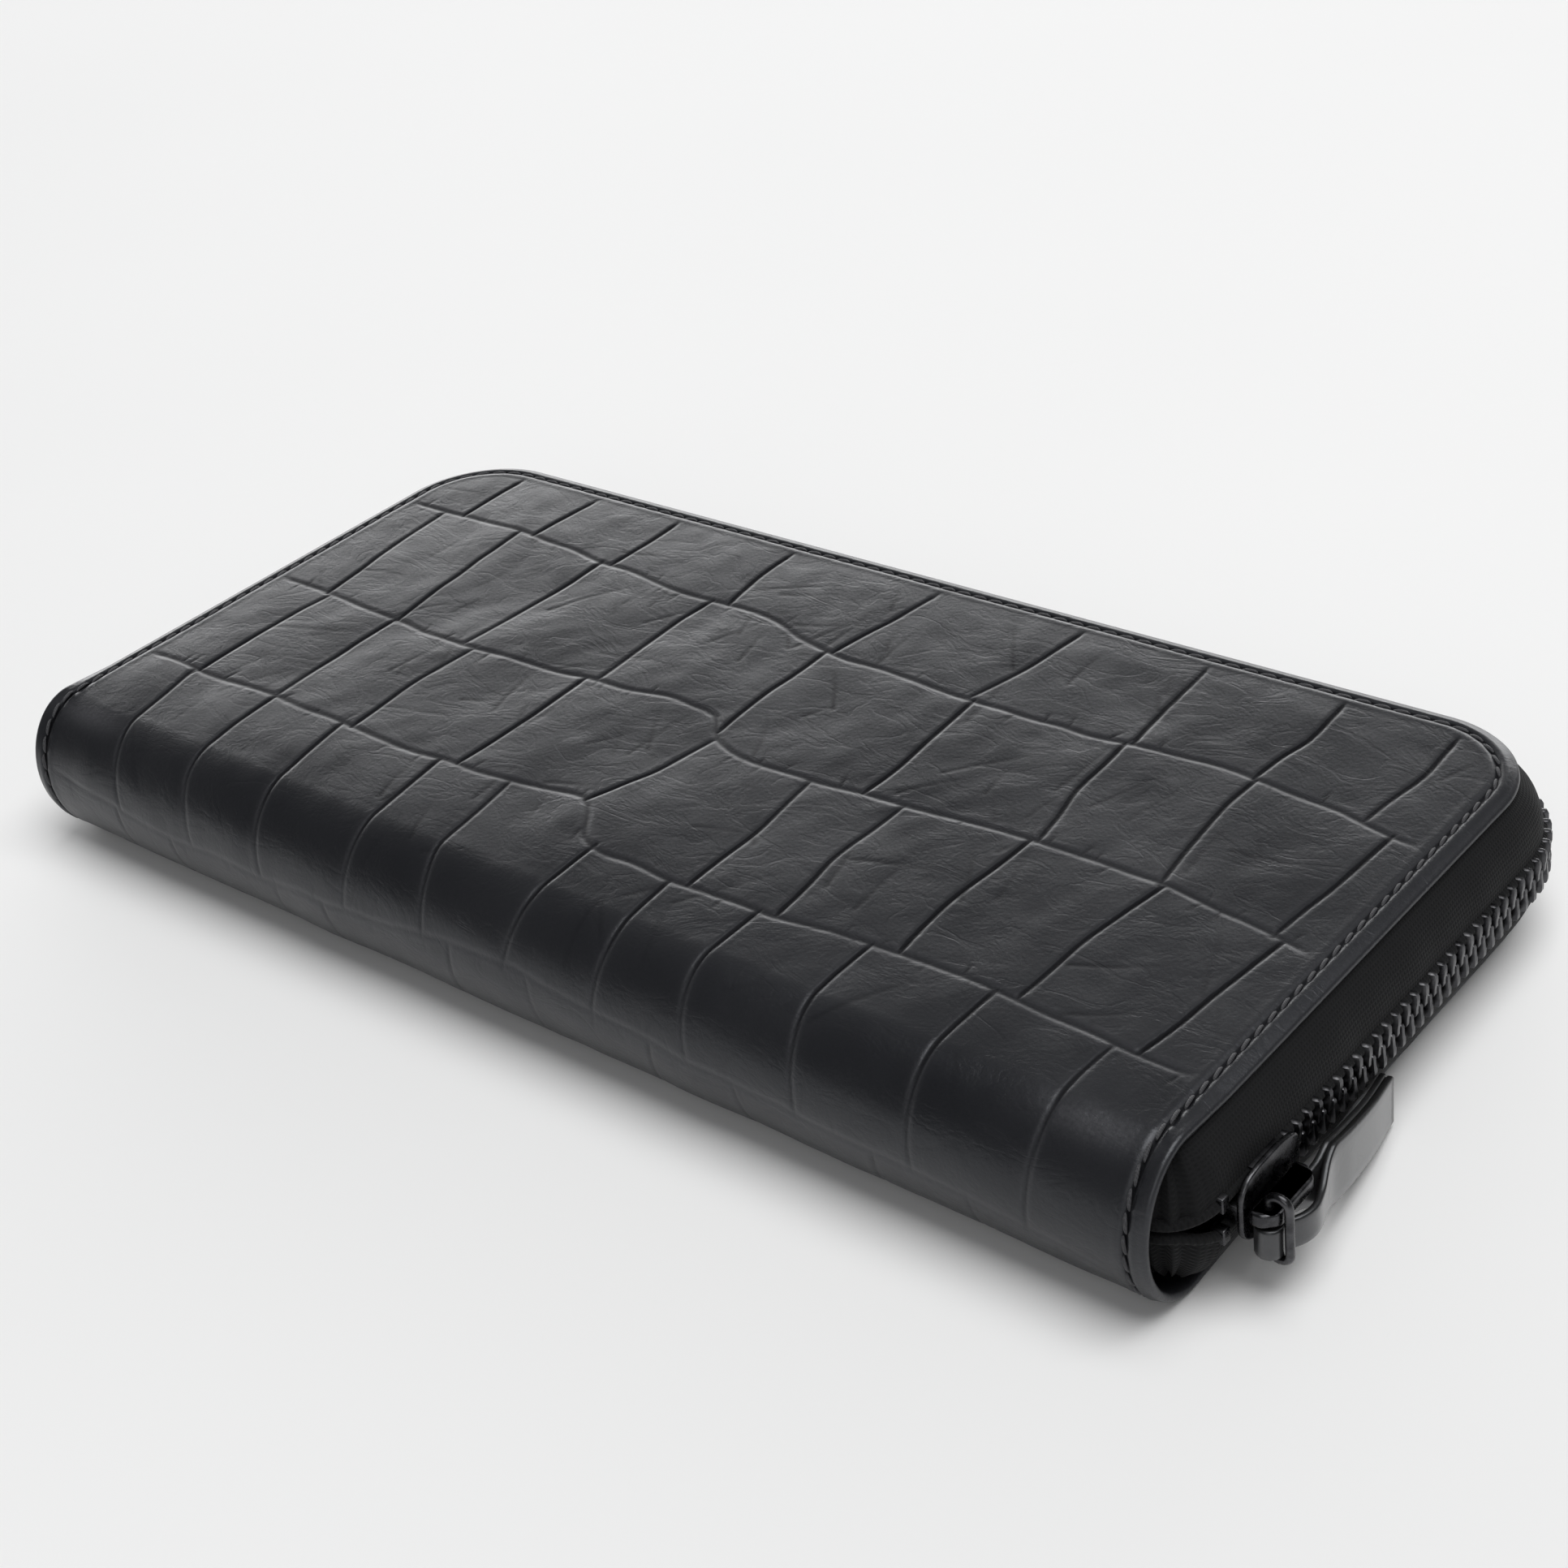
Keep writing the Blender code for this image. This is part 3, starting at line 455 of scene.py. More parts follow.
def embossing(x, s):
    """Relief of the scales on a grid of the flat leather, a mark that lightens the creases' lips (partly
    wear, partly painted highlight) and a mark of painted shade in their depths.
    """
    groove, near, near_long = np.zeros_like(x), np.full_like(x, REACH), np.full_like(x, REACH)
    row_s = s[:, 0]
    for points, depth_0, depth_1, width in creases():
        count = len(points) - 1
        for k in range(count):
            a, b = points[k], points[k + 1]
            low = np.searchsorted(row_s, min(a[1], b[1]) - REACH)
            high = np.searchsorted(row_s, max(a[1], b[1]) + REACH)
            if low == high:
                continue
            bx, bs = x[low:high], s[low:high]
            columns = np.abs(bx[0] - (a[0] + b[0]) / 2) < REACH + 3.0
            bx, bs = bx[:, columns], bs[:, columns]
            along = b - a
            t = ((bx - a[0]) * along[0] + (bs - a[1]) * along[1]) / max(along @ along, 1e-9)
            t = np.clip(t, 0, 1)
            distance = np.hypot(bx - a[0] - t * along[0], bs - a[1] - t * along[1])
            depth = depth_0 + (depth_1 - depth_0) * (k + t) / count
            patch = groove[low:high]
            patch[:, columns] = np.maximum(patch[:, columns], depth * np.exp(-(distance / width) ** 2))
            for counts, nearest in ((depth_0 > 0.08, near), (width == LONG_WIDTH, near_long)):
                if counts and width != TICK_WIDTH:
                    patch = nearest[low:high]
                    patch[:, columns] = np.minimum(patch[:, columns], distance)
    pillow = 0.035 * np.exp(-near / 0.8) + 0.09 * np.exp(-near / 3.0)
    lip = 0.02 * np.exp(-((near - 0.85) / 0.35) ** 2)
    # lightened crease lips: a painted highlight on the cross creases, strongest round the spine; along
    # the long creases partly wear, partly painted highlight
    on_spine = np.exp(-((s + 6.0) / 11.0) ** 2)
    lips = (0.03 + 0.32 * on_spine) * np.exp(-((near - 0.42) / 0.26) ** 2)
    lips = np.maximum(lips, 0.25 * np.exp(-((near_long - 0.5) / 0.60) ** 2))
    stretched = 1 - 0.5 * np.clip(-s / 9.0, 0, 1) * np.clip((s + SPINE + 6) / 9.0, 0, 1)
    # painted shade in the crease bottoms, weaker where the spine stretches the leather and along the
    # long creases
    cavity = stretched ** 3 * np.clip(groove / CREASE_DEPTH, 0, 1)
    cavity *= 1 - 0.6 * np.exp(-(near_long / 0.8) ** 2)
    relief_height = stretched * (lip - groove - pillow)
    return relief_height, lips + 0.08 * np.exp(-(near / 1.2) ** 2), cavity


def crumple(x, s):
    """Soft unevenness of leather that has been handled: gentle waves of many sizes and headings."""
    rng = random.Random(5)
    x, s = x + 3.0 * np.sin(s / 11.0), s + 3.0 * np.sin(x / 13.0)
    total = np.zeros_like(x)
    for _ in range(36):
        length = 4.5 * 7.0 ** rng.random()
        heading, phase = rng.uniform(0, math.pi), rng.uniform(0, 2 * math.pi)
        wave = np.sin(2 * math.pi * (x * math.cos(heading) + s * math.sin(heading)) / length + phase)
        total += 0.0007 * length * wave
    return total


# ---------------------------------------------------------------- cover
STITCH_IN = 2.6           # the stitch line's distance inside the cover's edge
EDGE = LEATHER / 2        # radius of the turned edge


def droop(x, s):
    """How far the cover bends in near its edge."""
    d = np.maximum(edge_distance(x, s), 0)
    flat = np.clip(np.abs(s - S_MID) - SPINE / 2, 0, 8) / 8
    bend = (0.12 + 0.28 * flat) * (1 - np.minimum(d / 9.0, 1)) ** 2
    return bend + (0.15 + 0.35 * flat) * (1 - np.minimum(d / STITCH_IN, 1)) ** 2


def relief(x, s):
    """Outward relief of the cover on a grid, with a mark that lightens lips, edges and the line beside
    the stitch groove (partly wear, partly painted highlight) and a mark of painted shade in the grooves.
    """
    d = edge_distance(x, s)
    scales, lips, cavity = embossing(x, s)
    inside = np.clip((d - 4.0) / 2.5, 0, 1)
    groove = 0.26 * np.exp(-((d - STITCH_IN) / 0.40) ** 2)
    roll = 0.14 * np.exp(-((d - 1.5) / 0.65) ** 2) + 0.06 * np.exp(-((d - 3.7) / 0.6) ** 2)
    shoulder = 0.5 * np.exp(-((s + 5.0) / 8.0) ** 2)
    height = scales * inside + crumple(x, s) * np.clip(d / 9.0, 0.1, 1) - groove + roll - shoulder
    height = np.where(s < -SPINE * 0.8, np.minimum(height - 0.12, 0.0), height)
    # lightened places: crease lips, a painted highlight beside the stitch groove, and the cover's edge,
    # partly wear and partly painted highlight
    marks = np.maximum(lips * inside, 0.25 * np.exp(-((d - STITCH_IN - 0.5) / 0.35) ** 2))
    marks = np.maximum(marks, 0.2 * np.exp(-(d / 0.9) ** 2))
    rubbed = 0.75 * np.exp(-((s + 3.0) / 2.2) ** 2) * np.exp(-((np.abs(x) - 88.0) / 6.5) ** 2)
    marks = np.maximum(marks, rubbed)      # the spine's shoulders near both ends are rubbed, and their highlight is painted into the colour
    # painted shade in the stitch groove too
    cavity = np.maximum(cavity * inside, 0.6 * np.exp(-((d - STITCH_IN) / 0.3) ** 2))
    return height * np.clip((d - EDGE) / 1.0, 0, 1), marks, cavity


def cover_rows():
    """Rows of the cover's grid: closer together on the top and round the spine than below."""
    def even(start, end, spacing):
        steps = 4 * max(int((end - start) / spacing / 4), 1)
        return [start + (end - start) * k / steps for k in range(1, steps + 1)]

    def corner(spacing):
        steps = 4 * int(CORNER_R * math.pi / 2 / spacing / 4)
        return [(CORNER_R - EDGE) * math.sin(math.pi / 2 * k / steps) for k in range(steps + 1)]

    low, high = S_MID - HALF_S + CORNER_R, FLAT - CORNER_R
    rows = [low - a for a in reversed(corner(2 * GRAIN))]
    rows += even(low, -SPINE, 2 * GRAIN) + even(-SPINE, high, GRAIN)
    return np.array(rows + [high + a for a in corner(GRAIN)[1:]])


def cover_leather():
    """One sheet of leather from edge to edge round the spine, with a rounded turned edge."""
    rows = cover_rows()
    across = np.linspace(-1, 1, 4 * int(2 * HALF_L / GRAIN / 4) + 1)
    s = np.repeat(rows[:, None], len(across), 1)
    x = across[None, :] * half_width(s, EDGE)
    height, marks, depths = relief(x, s)
    bend = droop(x, s)
    outer = place(x, s, bend - height)
    shape = s.shape
    loop = border(*shape)
    at = (loop[:, 0], loop[:, 1])
    edge_x, edge_s = x[at], s[at]
    a = np.maximum(np.abs(edge_x) - (HALF_L - CORNER_R), 0)
    b = np.maximum(np.abs(edge_s - S_MID) - (HALF_S - CORNER_R), 0)
    size = np.maximum(np.hypot(a, b), 1e-6)
    out = np.stack([np.sign(edge_x) * a / size, b / size, np.zeros_like(a)], -1)
    inward = -outward(edge_s)
    points = [outer.reshape(-1, 3)]
    coordinates = [np.stack([x, s, np.zeros_like(x)], -1).reshape(-1, 3)]
    # marks of lighter colour (partly wear, partly painted highlight) and of painted shade in the grooves
    highlight_and_wear, dark = [marks.ravel()], [depths.ravel()]
    rolls = 6
    for k in range(1, rolls + 1):
        angle = math.pi * k / rolls
        ring = outer[at] + EDGE * math.sin(angle) * out + EDGE * (1 - math.cos(angle)) * inward
        points.append(ring)
        reach = EDGE * angle
        coordinates.append(np.stack([edge_x + out[:, 0] * reach, edge_s + b / size * reach,
                                     np.zeros_like(a)], -1))
        # the turned edge is lightened a little: partly wear, partly painted highlight
        highlight_and_wear.append(np.full(len(loop), 0.15))
        dark.append(np.zeros(len(loop)))
    coarse = 4
    ix, iy = np.arange(0, shape[0], coarse), np.arange(0, shape[1], coarse)
    inner_x, inner_s = x[np.ix_(ix, iy)][1:-1, 1:-1], s[np.ix_(ix, iy)][1:-1, 1:-1]
    inner = place(inner_x, inner_s, LEATHER + droop(inner_x, inner_s))
    points.append(inner.reshape(-1, 3))
    coordinates.append(np.stack([inner_x, inner_s, np.zeros_like(inner_x)], -1).reshape(-1, 3))
    highlight_and_wear.append(np.zeros(inner_x.size))
    dark.append(np.zeros(inner_x.size))

    faces = grid_faces(*shape)
    total, count = shape[0] * shape[1], len(loop)
    rings = [loop[:, 0] * shape[1] + loop[:, 1]]
    rings += [total + k * count + np.arange(count) for k in range(rolls)]
    faces += ring_faces(rings)
    # the inner face has a quarter of the rows and columns: its border joins the roll by fans
    start = total + rolls * count
    last = rings[-1]
    index = {}
    for i in range(len(ix)):
        for j in range(len(iy)):
            if 0 < i < len(ix) - 1 and 0 < j < len(iy) - 1:
                index[i, j] = start + (i - 1) * (len(iy) - 2) + j - 1
    where = {tuple(p): int(last[k]) for k, p in enumerate(loop)}
    for i in range(len(ix)):
        for j in range(len(iy)):
            if (i, j) not in index:
                index[i, j] = where[ix[i], iy[j]]
    for i in range(len(ix) - 1):
        for j in range(len(iy) - 1):
            ring = []
            corners = [(i, j), (i, j + 1), (i + 1, j + 1), (i + 1, j)]
            for here, there in zip(corners, corners[1:] + corners[:1]):
                ring.append(index[here])
                (r0, c0), (r1, c1) = [(ix[p], iy[q]) for p, q in (here, there)]
                on_end = r0 == r1 and r0 in (0, shape[0] - 1)
                on_side = c0 == c1 and c0 in (0, shape[1] - 1)
                if on_end or on_side:
                    for k in range(1, coarse):
                        ring.append(where[r0 + (r1 - r0) * k // coarse, c0 + (c1 - c0) * k // coarse])
            faces.append(ring)
    obj = make("cover_leather", np.concatenate(points), faces, EMBOSSED, slot="embossed_leather",
               flat=np.concatenate(coordinates),
               marks={"lips": np.concatenate(highlight_and_wear), "cavity": np.concatenate(dark)})
    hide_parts("cover_leather_lower", "cover_leather_upper")
    bend_cover(obj)
    return obj


def bend_cover(obj):
    """Bakes the piece's placement into its mesh; it is not tied to either half."""
    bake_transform(obj)


def capsule(pile, centre, along, up, half_long, half_wide, half_high, sides=8):
    """A stitch: a rounded bar along a direction, its ends dipping away from up."""
    across = np.cross(up, along)
    rings = []
    stations = (-1.0, -0.86, -0.5, 0.0, 0.5, 0.86, 1.0)
    for t in stations:
        thick = math.sqrt(max(1 - abs(t) ** 3, 0.04))
        middle = centre + along * half_long * t - up * half_high * 1.1 * t ** 4
        for k in range(sides):
            angle = 2 * math.pi * k / sides
            rings.append(middle + across * half_wide * thick * math.cos(angle)
                         + up * half_high * thick * math.sin(angle))
    pile.add(rings, tube_faces(len(stations), sides))


def cover_stitching():
    """Thread in the groove all round the cover's edge."""
    radius = CORNER_R - STITCH_IN
    long_x, long_s = HALF_L - CORNER_R, HALF_S - CORNER_R
    line = []
    for sx, ss, start in ((1, 1, 0), (-1, 1, 90), (-1, -1, 180), (1, -1, 270)):
        for k in range(13):
            angle = math.radians(start + 7.5 * k)
            line.append((sx * long_x + radius * math.cos(angle),
                         S_MID + ss * long_s + radius * math.sin(angle)))
    line = np.array(line + line[:1])
    lengths = np.concatenate([[0], np.cumsum(np.hypot(*np.diff(line, axis=0).T))])
    count = int(lengths[-1] / 2.8)
    pile = Pile()
    for i in range(count):
        middle = lengths[-1] * i / count
        ends = [np.array([np.interp(middle + t, lengths, line[:, 0]),
                          np.interp(middle + t, lengths, line[:, 1])]) for t in (-0.6, 0.6)]
        x, s = (ends[0] + ends[1]) / 2
        a, b = place(*ends[0]), place(*ends[1])
        up = outward(s)
        along = (b - a) / np.linalg.norm(b - a)
        along = along + 0.16 * np.cross(up, along)
        centre = place(x, s, 0.10 + float(droop(x, s)))
        capsule(pile, centre, along / np.linalg.norm(along), up, 1.25, 0.25, 0.22)
    obj = pile.make("cover_stitching", THREAD)
    bend_cover(obj)


def spine_lining():
    """The smooth leather inside the spine."""
    low, high = box("spine_strip_lower")
    s = np.linspace(-SPINE, 0, 49)
    x = np.linspace(low[0], high[0], 79)
    grid_x, grid_s = np.meshgrid(x, s)
    inset = LEATHER + 0.3
    ripple = 0.12 * np.sin(grid_s * 1.3) * np.sin(grid_x / 7.0) ** 2
    rings = []
    for j in range(len(x)):
        outer = place(grid_x[:, j], grid_s[:, j], inset)
        inner = place(grid_x[:, j], grid_s[:, j], inset + 0.6 + ripple[:, j])
        rings.append(np.concatenate([outer, inner[::-1]]))
    obj = make("spine_lining", np.concatenate(rings), tube_faces(len(x), 2 * len(s)), SMOOTH,
               slot="smooth_leather")
    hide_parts("spine_strip_lower", "spine_strip_upper")
    bend_cover(obj)


# ---------------------------------------------------------------- zip round the three open sides
ARC = (CORNER_R + BULGE) * math.pi / 2
START_Y = box("zip_tape_lower")[0][1]
RUN = BACK_Y - CORNER_R - START_Y         # straight run of each end
BACK_RUN = 2 * (HALF_L - CORNER_R)
PATH = 2 * RUN + 2 * ARC + BACK_RUN
HOOK = 3.4                                # the tapes' ends turn in behind the spine at this radius
TUCK = 5.0                                # and run inwards this far


def zip_path(u, n):
    """The point at distance u along the zip and n outside the cover's edge, and its outward side."""
    if u < 0:
        angle = min(-u / HOOK, math.pi / 2)
        out = np.array([math.cos(angle), -math.sin(angle)])
        extra = max(-u - HOOK * math.pi / 2, 0.0)
        n = max(n, 0.3 - HOOK)
        return np.array([HALF_L - HOOK - extra, START_Y]) + out * (HOOK + n), out
    if u > PATH / 2:
        point, out = zip_path(PATH - u, n)
        return point * [-1, 1], out * [-1, 1]
    if u <= RUN:
        return np.array([HALF_L + n, START_Y + u]), np.array([1.0, 0.0])
    if u <= RUN + ARC:
        angle = (u - RUN) / ARC * math.pi / 2
        out = np.array([math.cos(angle), math.sin(angle)])
        centre = np.array([HALF_L - CORNER_R, BACK_Y - CORNER_R])
        return centre + out * (CORNER_R + n), out
    return np.array([HALF_L - CORNER_R - (u - RUN - ARC), BACK_Y + n]), np.array([0.0, 1.0])


def mirrored(z, side):
    """A height in the lower half, or its mirror image in the upper half."""
    return z if side < 0 else HEIGHT - z


TAPE_FOOT = -0.9          # the tape's wall leaves the cover's edge here
CORD_Z = MID_Z - 2.1      # the woven cord that the teeth grip
CORD_R = 0.70


def tape_profile():
    """Outline (n, z) of the lower tape, from its sewn flange up the swelling wall to the cord."""
    foot = LEATHER + 0.35
    steps = 12
    wall = []
    for k in range(steps + 1):
        rise = k / steps
        n = TAPE_FOOT + (BULGE - TAPE_FOOT + 0.1) * (1 - (1 - rise) ** 2.4)
        wall.append((n, foot + (CORD_Z - CORD_R * 0.4 - foot) * rise))
    outer = [(-6.5, foot), (-3.0, foot)] + wall
    inner = [(n - 0.5, max(z, foot + 0.5)) for n, z in reversed(wall)] + [(-6.5, foot + 0.5)]
    return outer, inner


def zip_tape(side, word):
    """A woven tape with its cord, from one tucked-in end to the other."""
    outer, inner = tape_profile()
    outline = outer + inner
    stations = list(np.arange(-HOOK * math.pi / 2 - TUCK, 0, 0.45))
    stations += list(np.linspace(0, RUN, 46)) + list(np.linspace(RUN, RUN + ARC, 20))[1:]
    stations += list(np.linspace(RUN + ARC, PATH / 2, 56))[1:]
    stations += [PATH - u for u in reversed(stations[:-1])]
    points, flat = [], []
    steps = [0.0]
    for a, b in zip(outline, outline[1:]):
        steps.append(steps[-1] + math.dist(a, b))
    for u in stations:
        from_end = min(u, PATH - u)
        tucked = min(max(-from_end / 2.5, 0.0), 1.0)
        pleats = 0.6 * tucked * math.sin(from_end * 2 * math.pi / 1.7)
        stretch = 1 + tucked * ((MID_Z - 0.15 - LEATHER) / (CORD_Z - LEATHER) - 1)
        for (n, z), v in zip(outline, steps):
            swell = math.sin(math.pi * min(max((z - LEATHER) / (CORD_Z - LEATHER), 0), 1))
            wave = 0.10 * math.sin(u / 3.1) + 0.07 * math.sin(u / 1.37 + 1.0)
            x, y = zip_path(u, n - 1.2 * tucked + wave * swell + pleats)[0]
            points.append((x, y, mirrored(LEATHER + (z - LEATHER) * stretch, side)))
            flat.append((u, v, 0.0))
    tape = make(f"tape_{word}", points, tube_faces(len(stations), len(outline)), TAPE,
                f"{word}_half", "tape", flat)
    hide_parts(f"zip_tape_{word}")
    cord = Pile()
    sides = 10
    ring = []
    for u in stations:
        tucked = min(max(-min(u, PATH - u) / 2.5, 0.0), 1.0)
        for k in range(sides):
            angle = 2 * math.pi * k / sides
            x, y = zip_path(u, BULGE - 1.2 * tucked + CORD_R * math.cos(angle))[0]
            ring.append((x, y, mirrored(CORD_Z + 1.2 * tucked + CORD_R * math.sin(angle), side)))
    cord.add(ring, tube_faces(len(stations), sides))
    cord.make(f"tape_cord_{word}", TAPE, f"{word}_half", "tape")


# Sections of one tooth up its height: height from the chain's middle, half width, half thickness
TOOTH = [(-2.80, 0.22, 0.72), (-2.70, 0.42, 1.00), (-2.35, 0.54, 1.18), (-1.5, 0.55, 1.20),
         (-1.0, 0.46, 1.10), (-0.35, 0.42, 1.05), (0.15, 0.46, 1.04), (0.45, 0.40, 0.92),
         (0.62, 0.18, 0.55)]
# Outline of a section, in half widths and half thicknesses: a rectangle with cut corners
TOOTH_SECTION = [(1, 0.55), (0.62, 1), (-0.62, 1), (-1, 0.55), (-1, -0.55), (-0.62, -1), (0.62, -1),
                 (1, -0.55)]


def tooth(pile, point, along, out, side, scale=1.0):
    """One tooth at a point of the chain's middle, as rounded sections joined up its height."""
    point, along, out = np.asarray(point), np.asarray(along), np.asarray(out)
    ring = []
    for height, wide, thick in TOOTH:
        for a, b in TOOTH_SECTION:
            plan = point + along * wide * a * scale + out * thick * b * scale
            ring.append((*plan, MID_Z + side * -1 * height * scale))
    pile.add(ring, tube_faces(len(TOOTH), len(TOOTH_SECTION)))


def zip_teeth(side, word):
    """The row of teeth along the closed chain."""
    low = box(f"zip_teeth_{word}")[0]
    first, last = low[1] - START_Y + 0.9, PATH - 10.0
    count = int((last - first) / PITCH)
    pile = Pile()
    for i in range(count):
        u = first + PITCH * (i + (0.0 if side < 0 else 0.5))
        point, out = zip_path(u, BULGE)
        tooth(pile, point, (-out[1], out[0]), out, side)
    obj = pile.make(f"teeth_{word}", TEETH_METAL, f"{word}_half", "gunmetal", smooth=False)
    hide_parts(f"zip_teeth_{word}")
    soften(obj, 35)


def soften(obj, angle):
    """Smooth shading with the edges sharper than angle kept."""
    obj.data.shade_smooth()
    obj.data.set_sharp_from_angle(angle=math.radians(angle))


# ---------------------------------------------------------------- slider
def rounded(outline, reach, steps=3):
    """The outline with each corner replaced by a small curve."""
    outline = np.array(outline, float)
    curve = []
    for i, corner in enumerate(outline):
        ends = []
        for other in (outline[i - 1], outline[(i + 1) % len(outline)]):
            length = np.linalg.norm(other - corner)
            ends.append(corner + (other - corner) * min(reach / length, 0.48))
        for k in range(steps + 1):
            t = k / steps
            curve.append(ends[0] * (1 - t) ** 2 + 2 * corner * t * (1 - t) + ends[1] * t * t)
    return np.array(curve)


def rounded_prism(pile, outline, low, high, edge, spot, steps=3):
    """An outline pushed from low to high, its rims rounded by edge; spot puts a point in space."""
    ahead = np.roll(outline, -1, axis=0)
    if np.sum(outline[:, 0] * ahead[:, 1] - outline[:, 1] * ahead[:, 0]) < 0:
        outline = outline[::-1]
    edges = np.roll(outline, -1, axis=0) - outline
    edges = edges / np.linalg.norm(edges, axis=1, keepdims=True)
    after = np.stack([edges[:, 1], -edges[:, 0]], -1)
    before = np.roll(after, 1, axis=0)
    outer = (before + after) / (1 + np.sum(before * after, axis=1, keepdims=True))
    angles = np.linspace(math.pi / 2, 0, steps + 1)
    levels = [(low + edge * (1 - math.sin(a)), edge * (1 - math.cos(a))) for a in angles]
    levels += [(high - edge * (1 - math.sin(a)), edge * (1 - math.cos(a))) for a in angles[::-1]]
    ring = []
    for level, inset in levels:
        ring += [spot(u, v, level) for u, v in outline - outer * inset]
    pile.add(ring, tube_faces(len(levels), len(outline)))


def slider(prefix, body_node, bail_node, spot, plates, bridge, body, edge):
    """Two rounded lipped plates, the wedge between them, and the bridge over the outer one.

    spot puts (along the chain, across it, out from it) in space; plates holds the front, the back,
    the half width and the outer faces' distance from the chain; bridge its front, back, foot, top
    and half width.
    """
    front, back, wide, reach = plates
    long, thick = back - front, reach * 0.36
    plan = [(front, -wide * 0.55), (front + long * 0.12, -wide * 0.92), (front + long * 0.3, -wide),
            (back - long * 0.3, -wide), (back - long * 0.05, -wide * 0.84), (back, -wide * 0.6)]
    plan += [(u, -across) for u, across in reversed(plan)]
    pile = Pile()
    for flip in (-1, 1):
        def on_plate(u, across, out, flip=flip):
            return spot(u, across, flip * out)
        rounded_prism(pile, rounded(plan, 1.0), reach - thick, reach, edge, on_plate)
        for end in (-1, 1):
            lip = [(front + long * 0.27, end * (wide - 0.1)), (back - long * 0.27, end * (wide - 0.1)),
                   (back - long * 0.29, end * (wide - 0.7)), (front + long * 0.29, end * (wide - 0.7))]
            rounded_prism(pile, rounded(lip, 0.2), reach - thick * 1.6, reach - thick * 0.5, 0.12,
                          on_plate)
    wedge = [(front + 0.3, -1.3), (front + long * 0.38, 0.0), (front + 0.3, 1.3)]
    rounded_prism(pile, rounded(wedge, 0.4), -reach + thick / 2, reach - thick / 2, 0.1, spot)
    obj = pile.make(f"{prefix}_plates", GUNMETAL, body, "gunmetal")
    soften(obj, 40)
    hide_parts(body_node)

    front, back, foot, top, half = bridge
    leg, bar, bend = 1.0, 0.7, 1.5
    arch = [(foot, front), (top - bend, front), (top, front + bend), (top, back - bend),
            (top - bend, back), (foot, back), (foot, back - leg), (top - bar, back - leg),
            (top - bar, front + leg), (foot, front + leg)]
    pile = Pile()
    rounded_prism(pile, rounded(arch, 0.6), -half, half, 0.32, lambda out, u, z: spot(u, z, out))
    obj = pile.make(f"{prefix}_bridge", GUNMETAL, body, "gunmetal")
    soften(obj, 40)
    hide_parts(bail_node)


def sliders():
    """The big slider on the right end and the small one of the coin pocket."""
    low, high = box("slider_body")
    bail_low, bail_high = box("slider_bail")
    plates = (low[1], high[1], high[2] - MID_Z, high[0] - CHAIN_X)
    bridge = (bail_low[1], bail_high[1], bail_low[0] - CHAIN_X, bail_high[0] - CHAIN_X,
              (bail_high[2] - bail_low[2]) / 2 - 0.3)
    slider("slider", "slider_body", "slider_bail",
           lambda u, across, out: (CHAIN_X + out, u, MID_Z + across), plates, bridge, "zip_slider", 0.28)
    low, high = box("coin_slider_body")
    bail_low, bail_high = box("coin_slider_bail")
    chain_y = (low[1] + high[1]) / 2
    plates = (-high[0], -low[0], high[2] - MID_Z, high[1] - chain_y)
    bridge = (-bail_high[0], -bail_low[0], bail_low[1] - chain_y, bail_high[1] - chain_y,
              (bail_high[2] - bail_low[2]) / 2 - 0.1)
    slider("coin_slider", "coin_slider_body", "coin_slider_bail",
           lambda u, across, out: (-u, chain_y + out, MID_Z + across), plates, bridge, "coin_zip_slider",
           0.2)


# ---------------------------------------------------------------- pull
RING_LOW, RING_HIGH = box("pull_ring")
WIRE = 0.55
RING_X = RING_LOW[0] + WIRE
RING_Y = (RING_LOW[1] + RING_HIGH[1]) / 2


def tube(name, line, radius, sides, mat, body, slot, closed=False):
    """Round wire along a line of points."""
    line = np.asarray(line, float)
    count = len(line)
    points = []
    for i in range(count):
        before = line[i - 1] if closed or i else line[i]
        after = line[(i + 1) % count] if closed or i < count - 1 else line[i]
        along = (after - before) / np.linalg.norm(after - before)
        side = np.cross(along, (0, 1, 0))
        side = side / np.linalg.norm(side)
        up = np.cross(side, along)
        for k in range(sides):
            angle = 2 * math.pi * k / sides
            points.append(line[i] + radius * (side * math.cos(angle) + up * math.sin(angle)))
    return make(name, points, tube_faces(count, sides, closed), mat, body, slot)


def pull_link():
    """The rounded wire link between the slider's bridge and the leather pull."""
    low, high = RING_LOW[2] + WIRE, RING_HIGH[2] - WIRE - 1.0
    right = RING_HIGH[0] - WIRE
    bend = (right - RING_X) * 0.48
    line = []
    for x, z, start in ((right - bend, high - bend, 0), (RING_X + bend, high - bend, 90),
                        (RING_X + bend, low + bend, 180), (right - bend, low + bend, 270)):
        for k in range(7):
            angle = math.radians(start + 15 * k)
            line.append((x + bend * math.cos(angle), RING_Y, z + bend * math.sin(angle)))
    obj = tube("pull_link", line, WIRE, 16, GUNMETAL, "zip_link", "gunmetal", closed=True)
    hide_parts("pull_ring")


STRAP_PLY = 0.85
STRAP_LOW, STRAP_HIGH = box("pull_strap")


def strap_height(y):
    """Lowest and highest z of the pull at a distance along Y: a neck that widens and droops."""
    neck = (6.0, 10.0)
    wide = (3.9, 12.2)
    end = (0.5, 7.3)
    grow = np.clip((y + 28.0) / 6.5, 0, 1)
    grow = grow * grow * (3 - 2 * grow)
    fall = np.clip((y + 22.5) / 18.5, 0, 1)
    low = neck[0] + (wide[0] + (end[0] - wide[0]) * fall - neck[0]) * grow
    high = neck[1] + (wide[1] + (end[1] - wide[1]) * fall - neck[1]) * grow
    return low, high


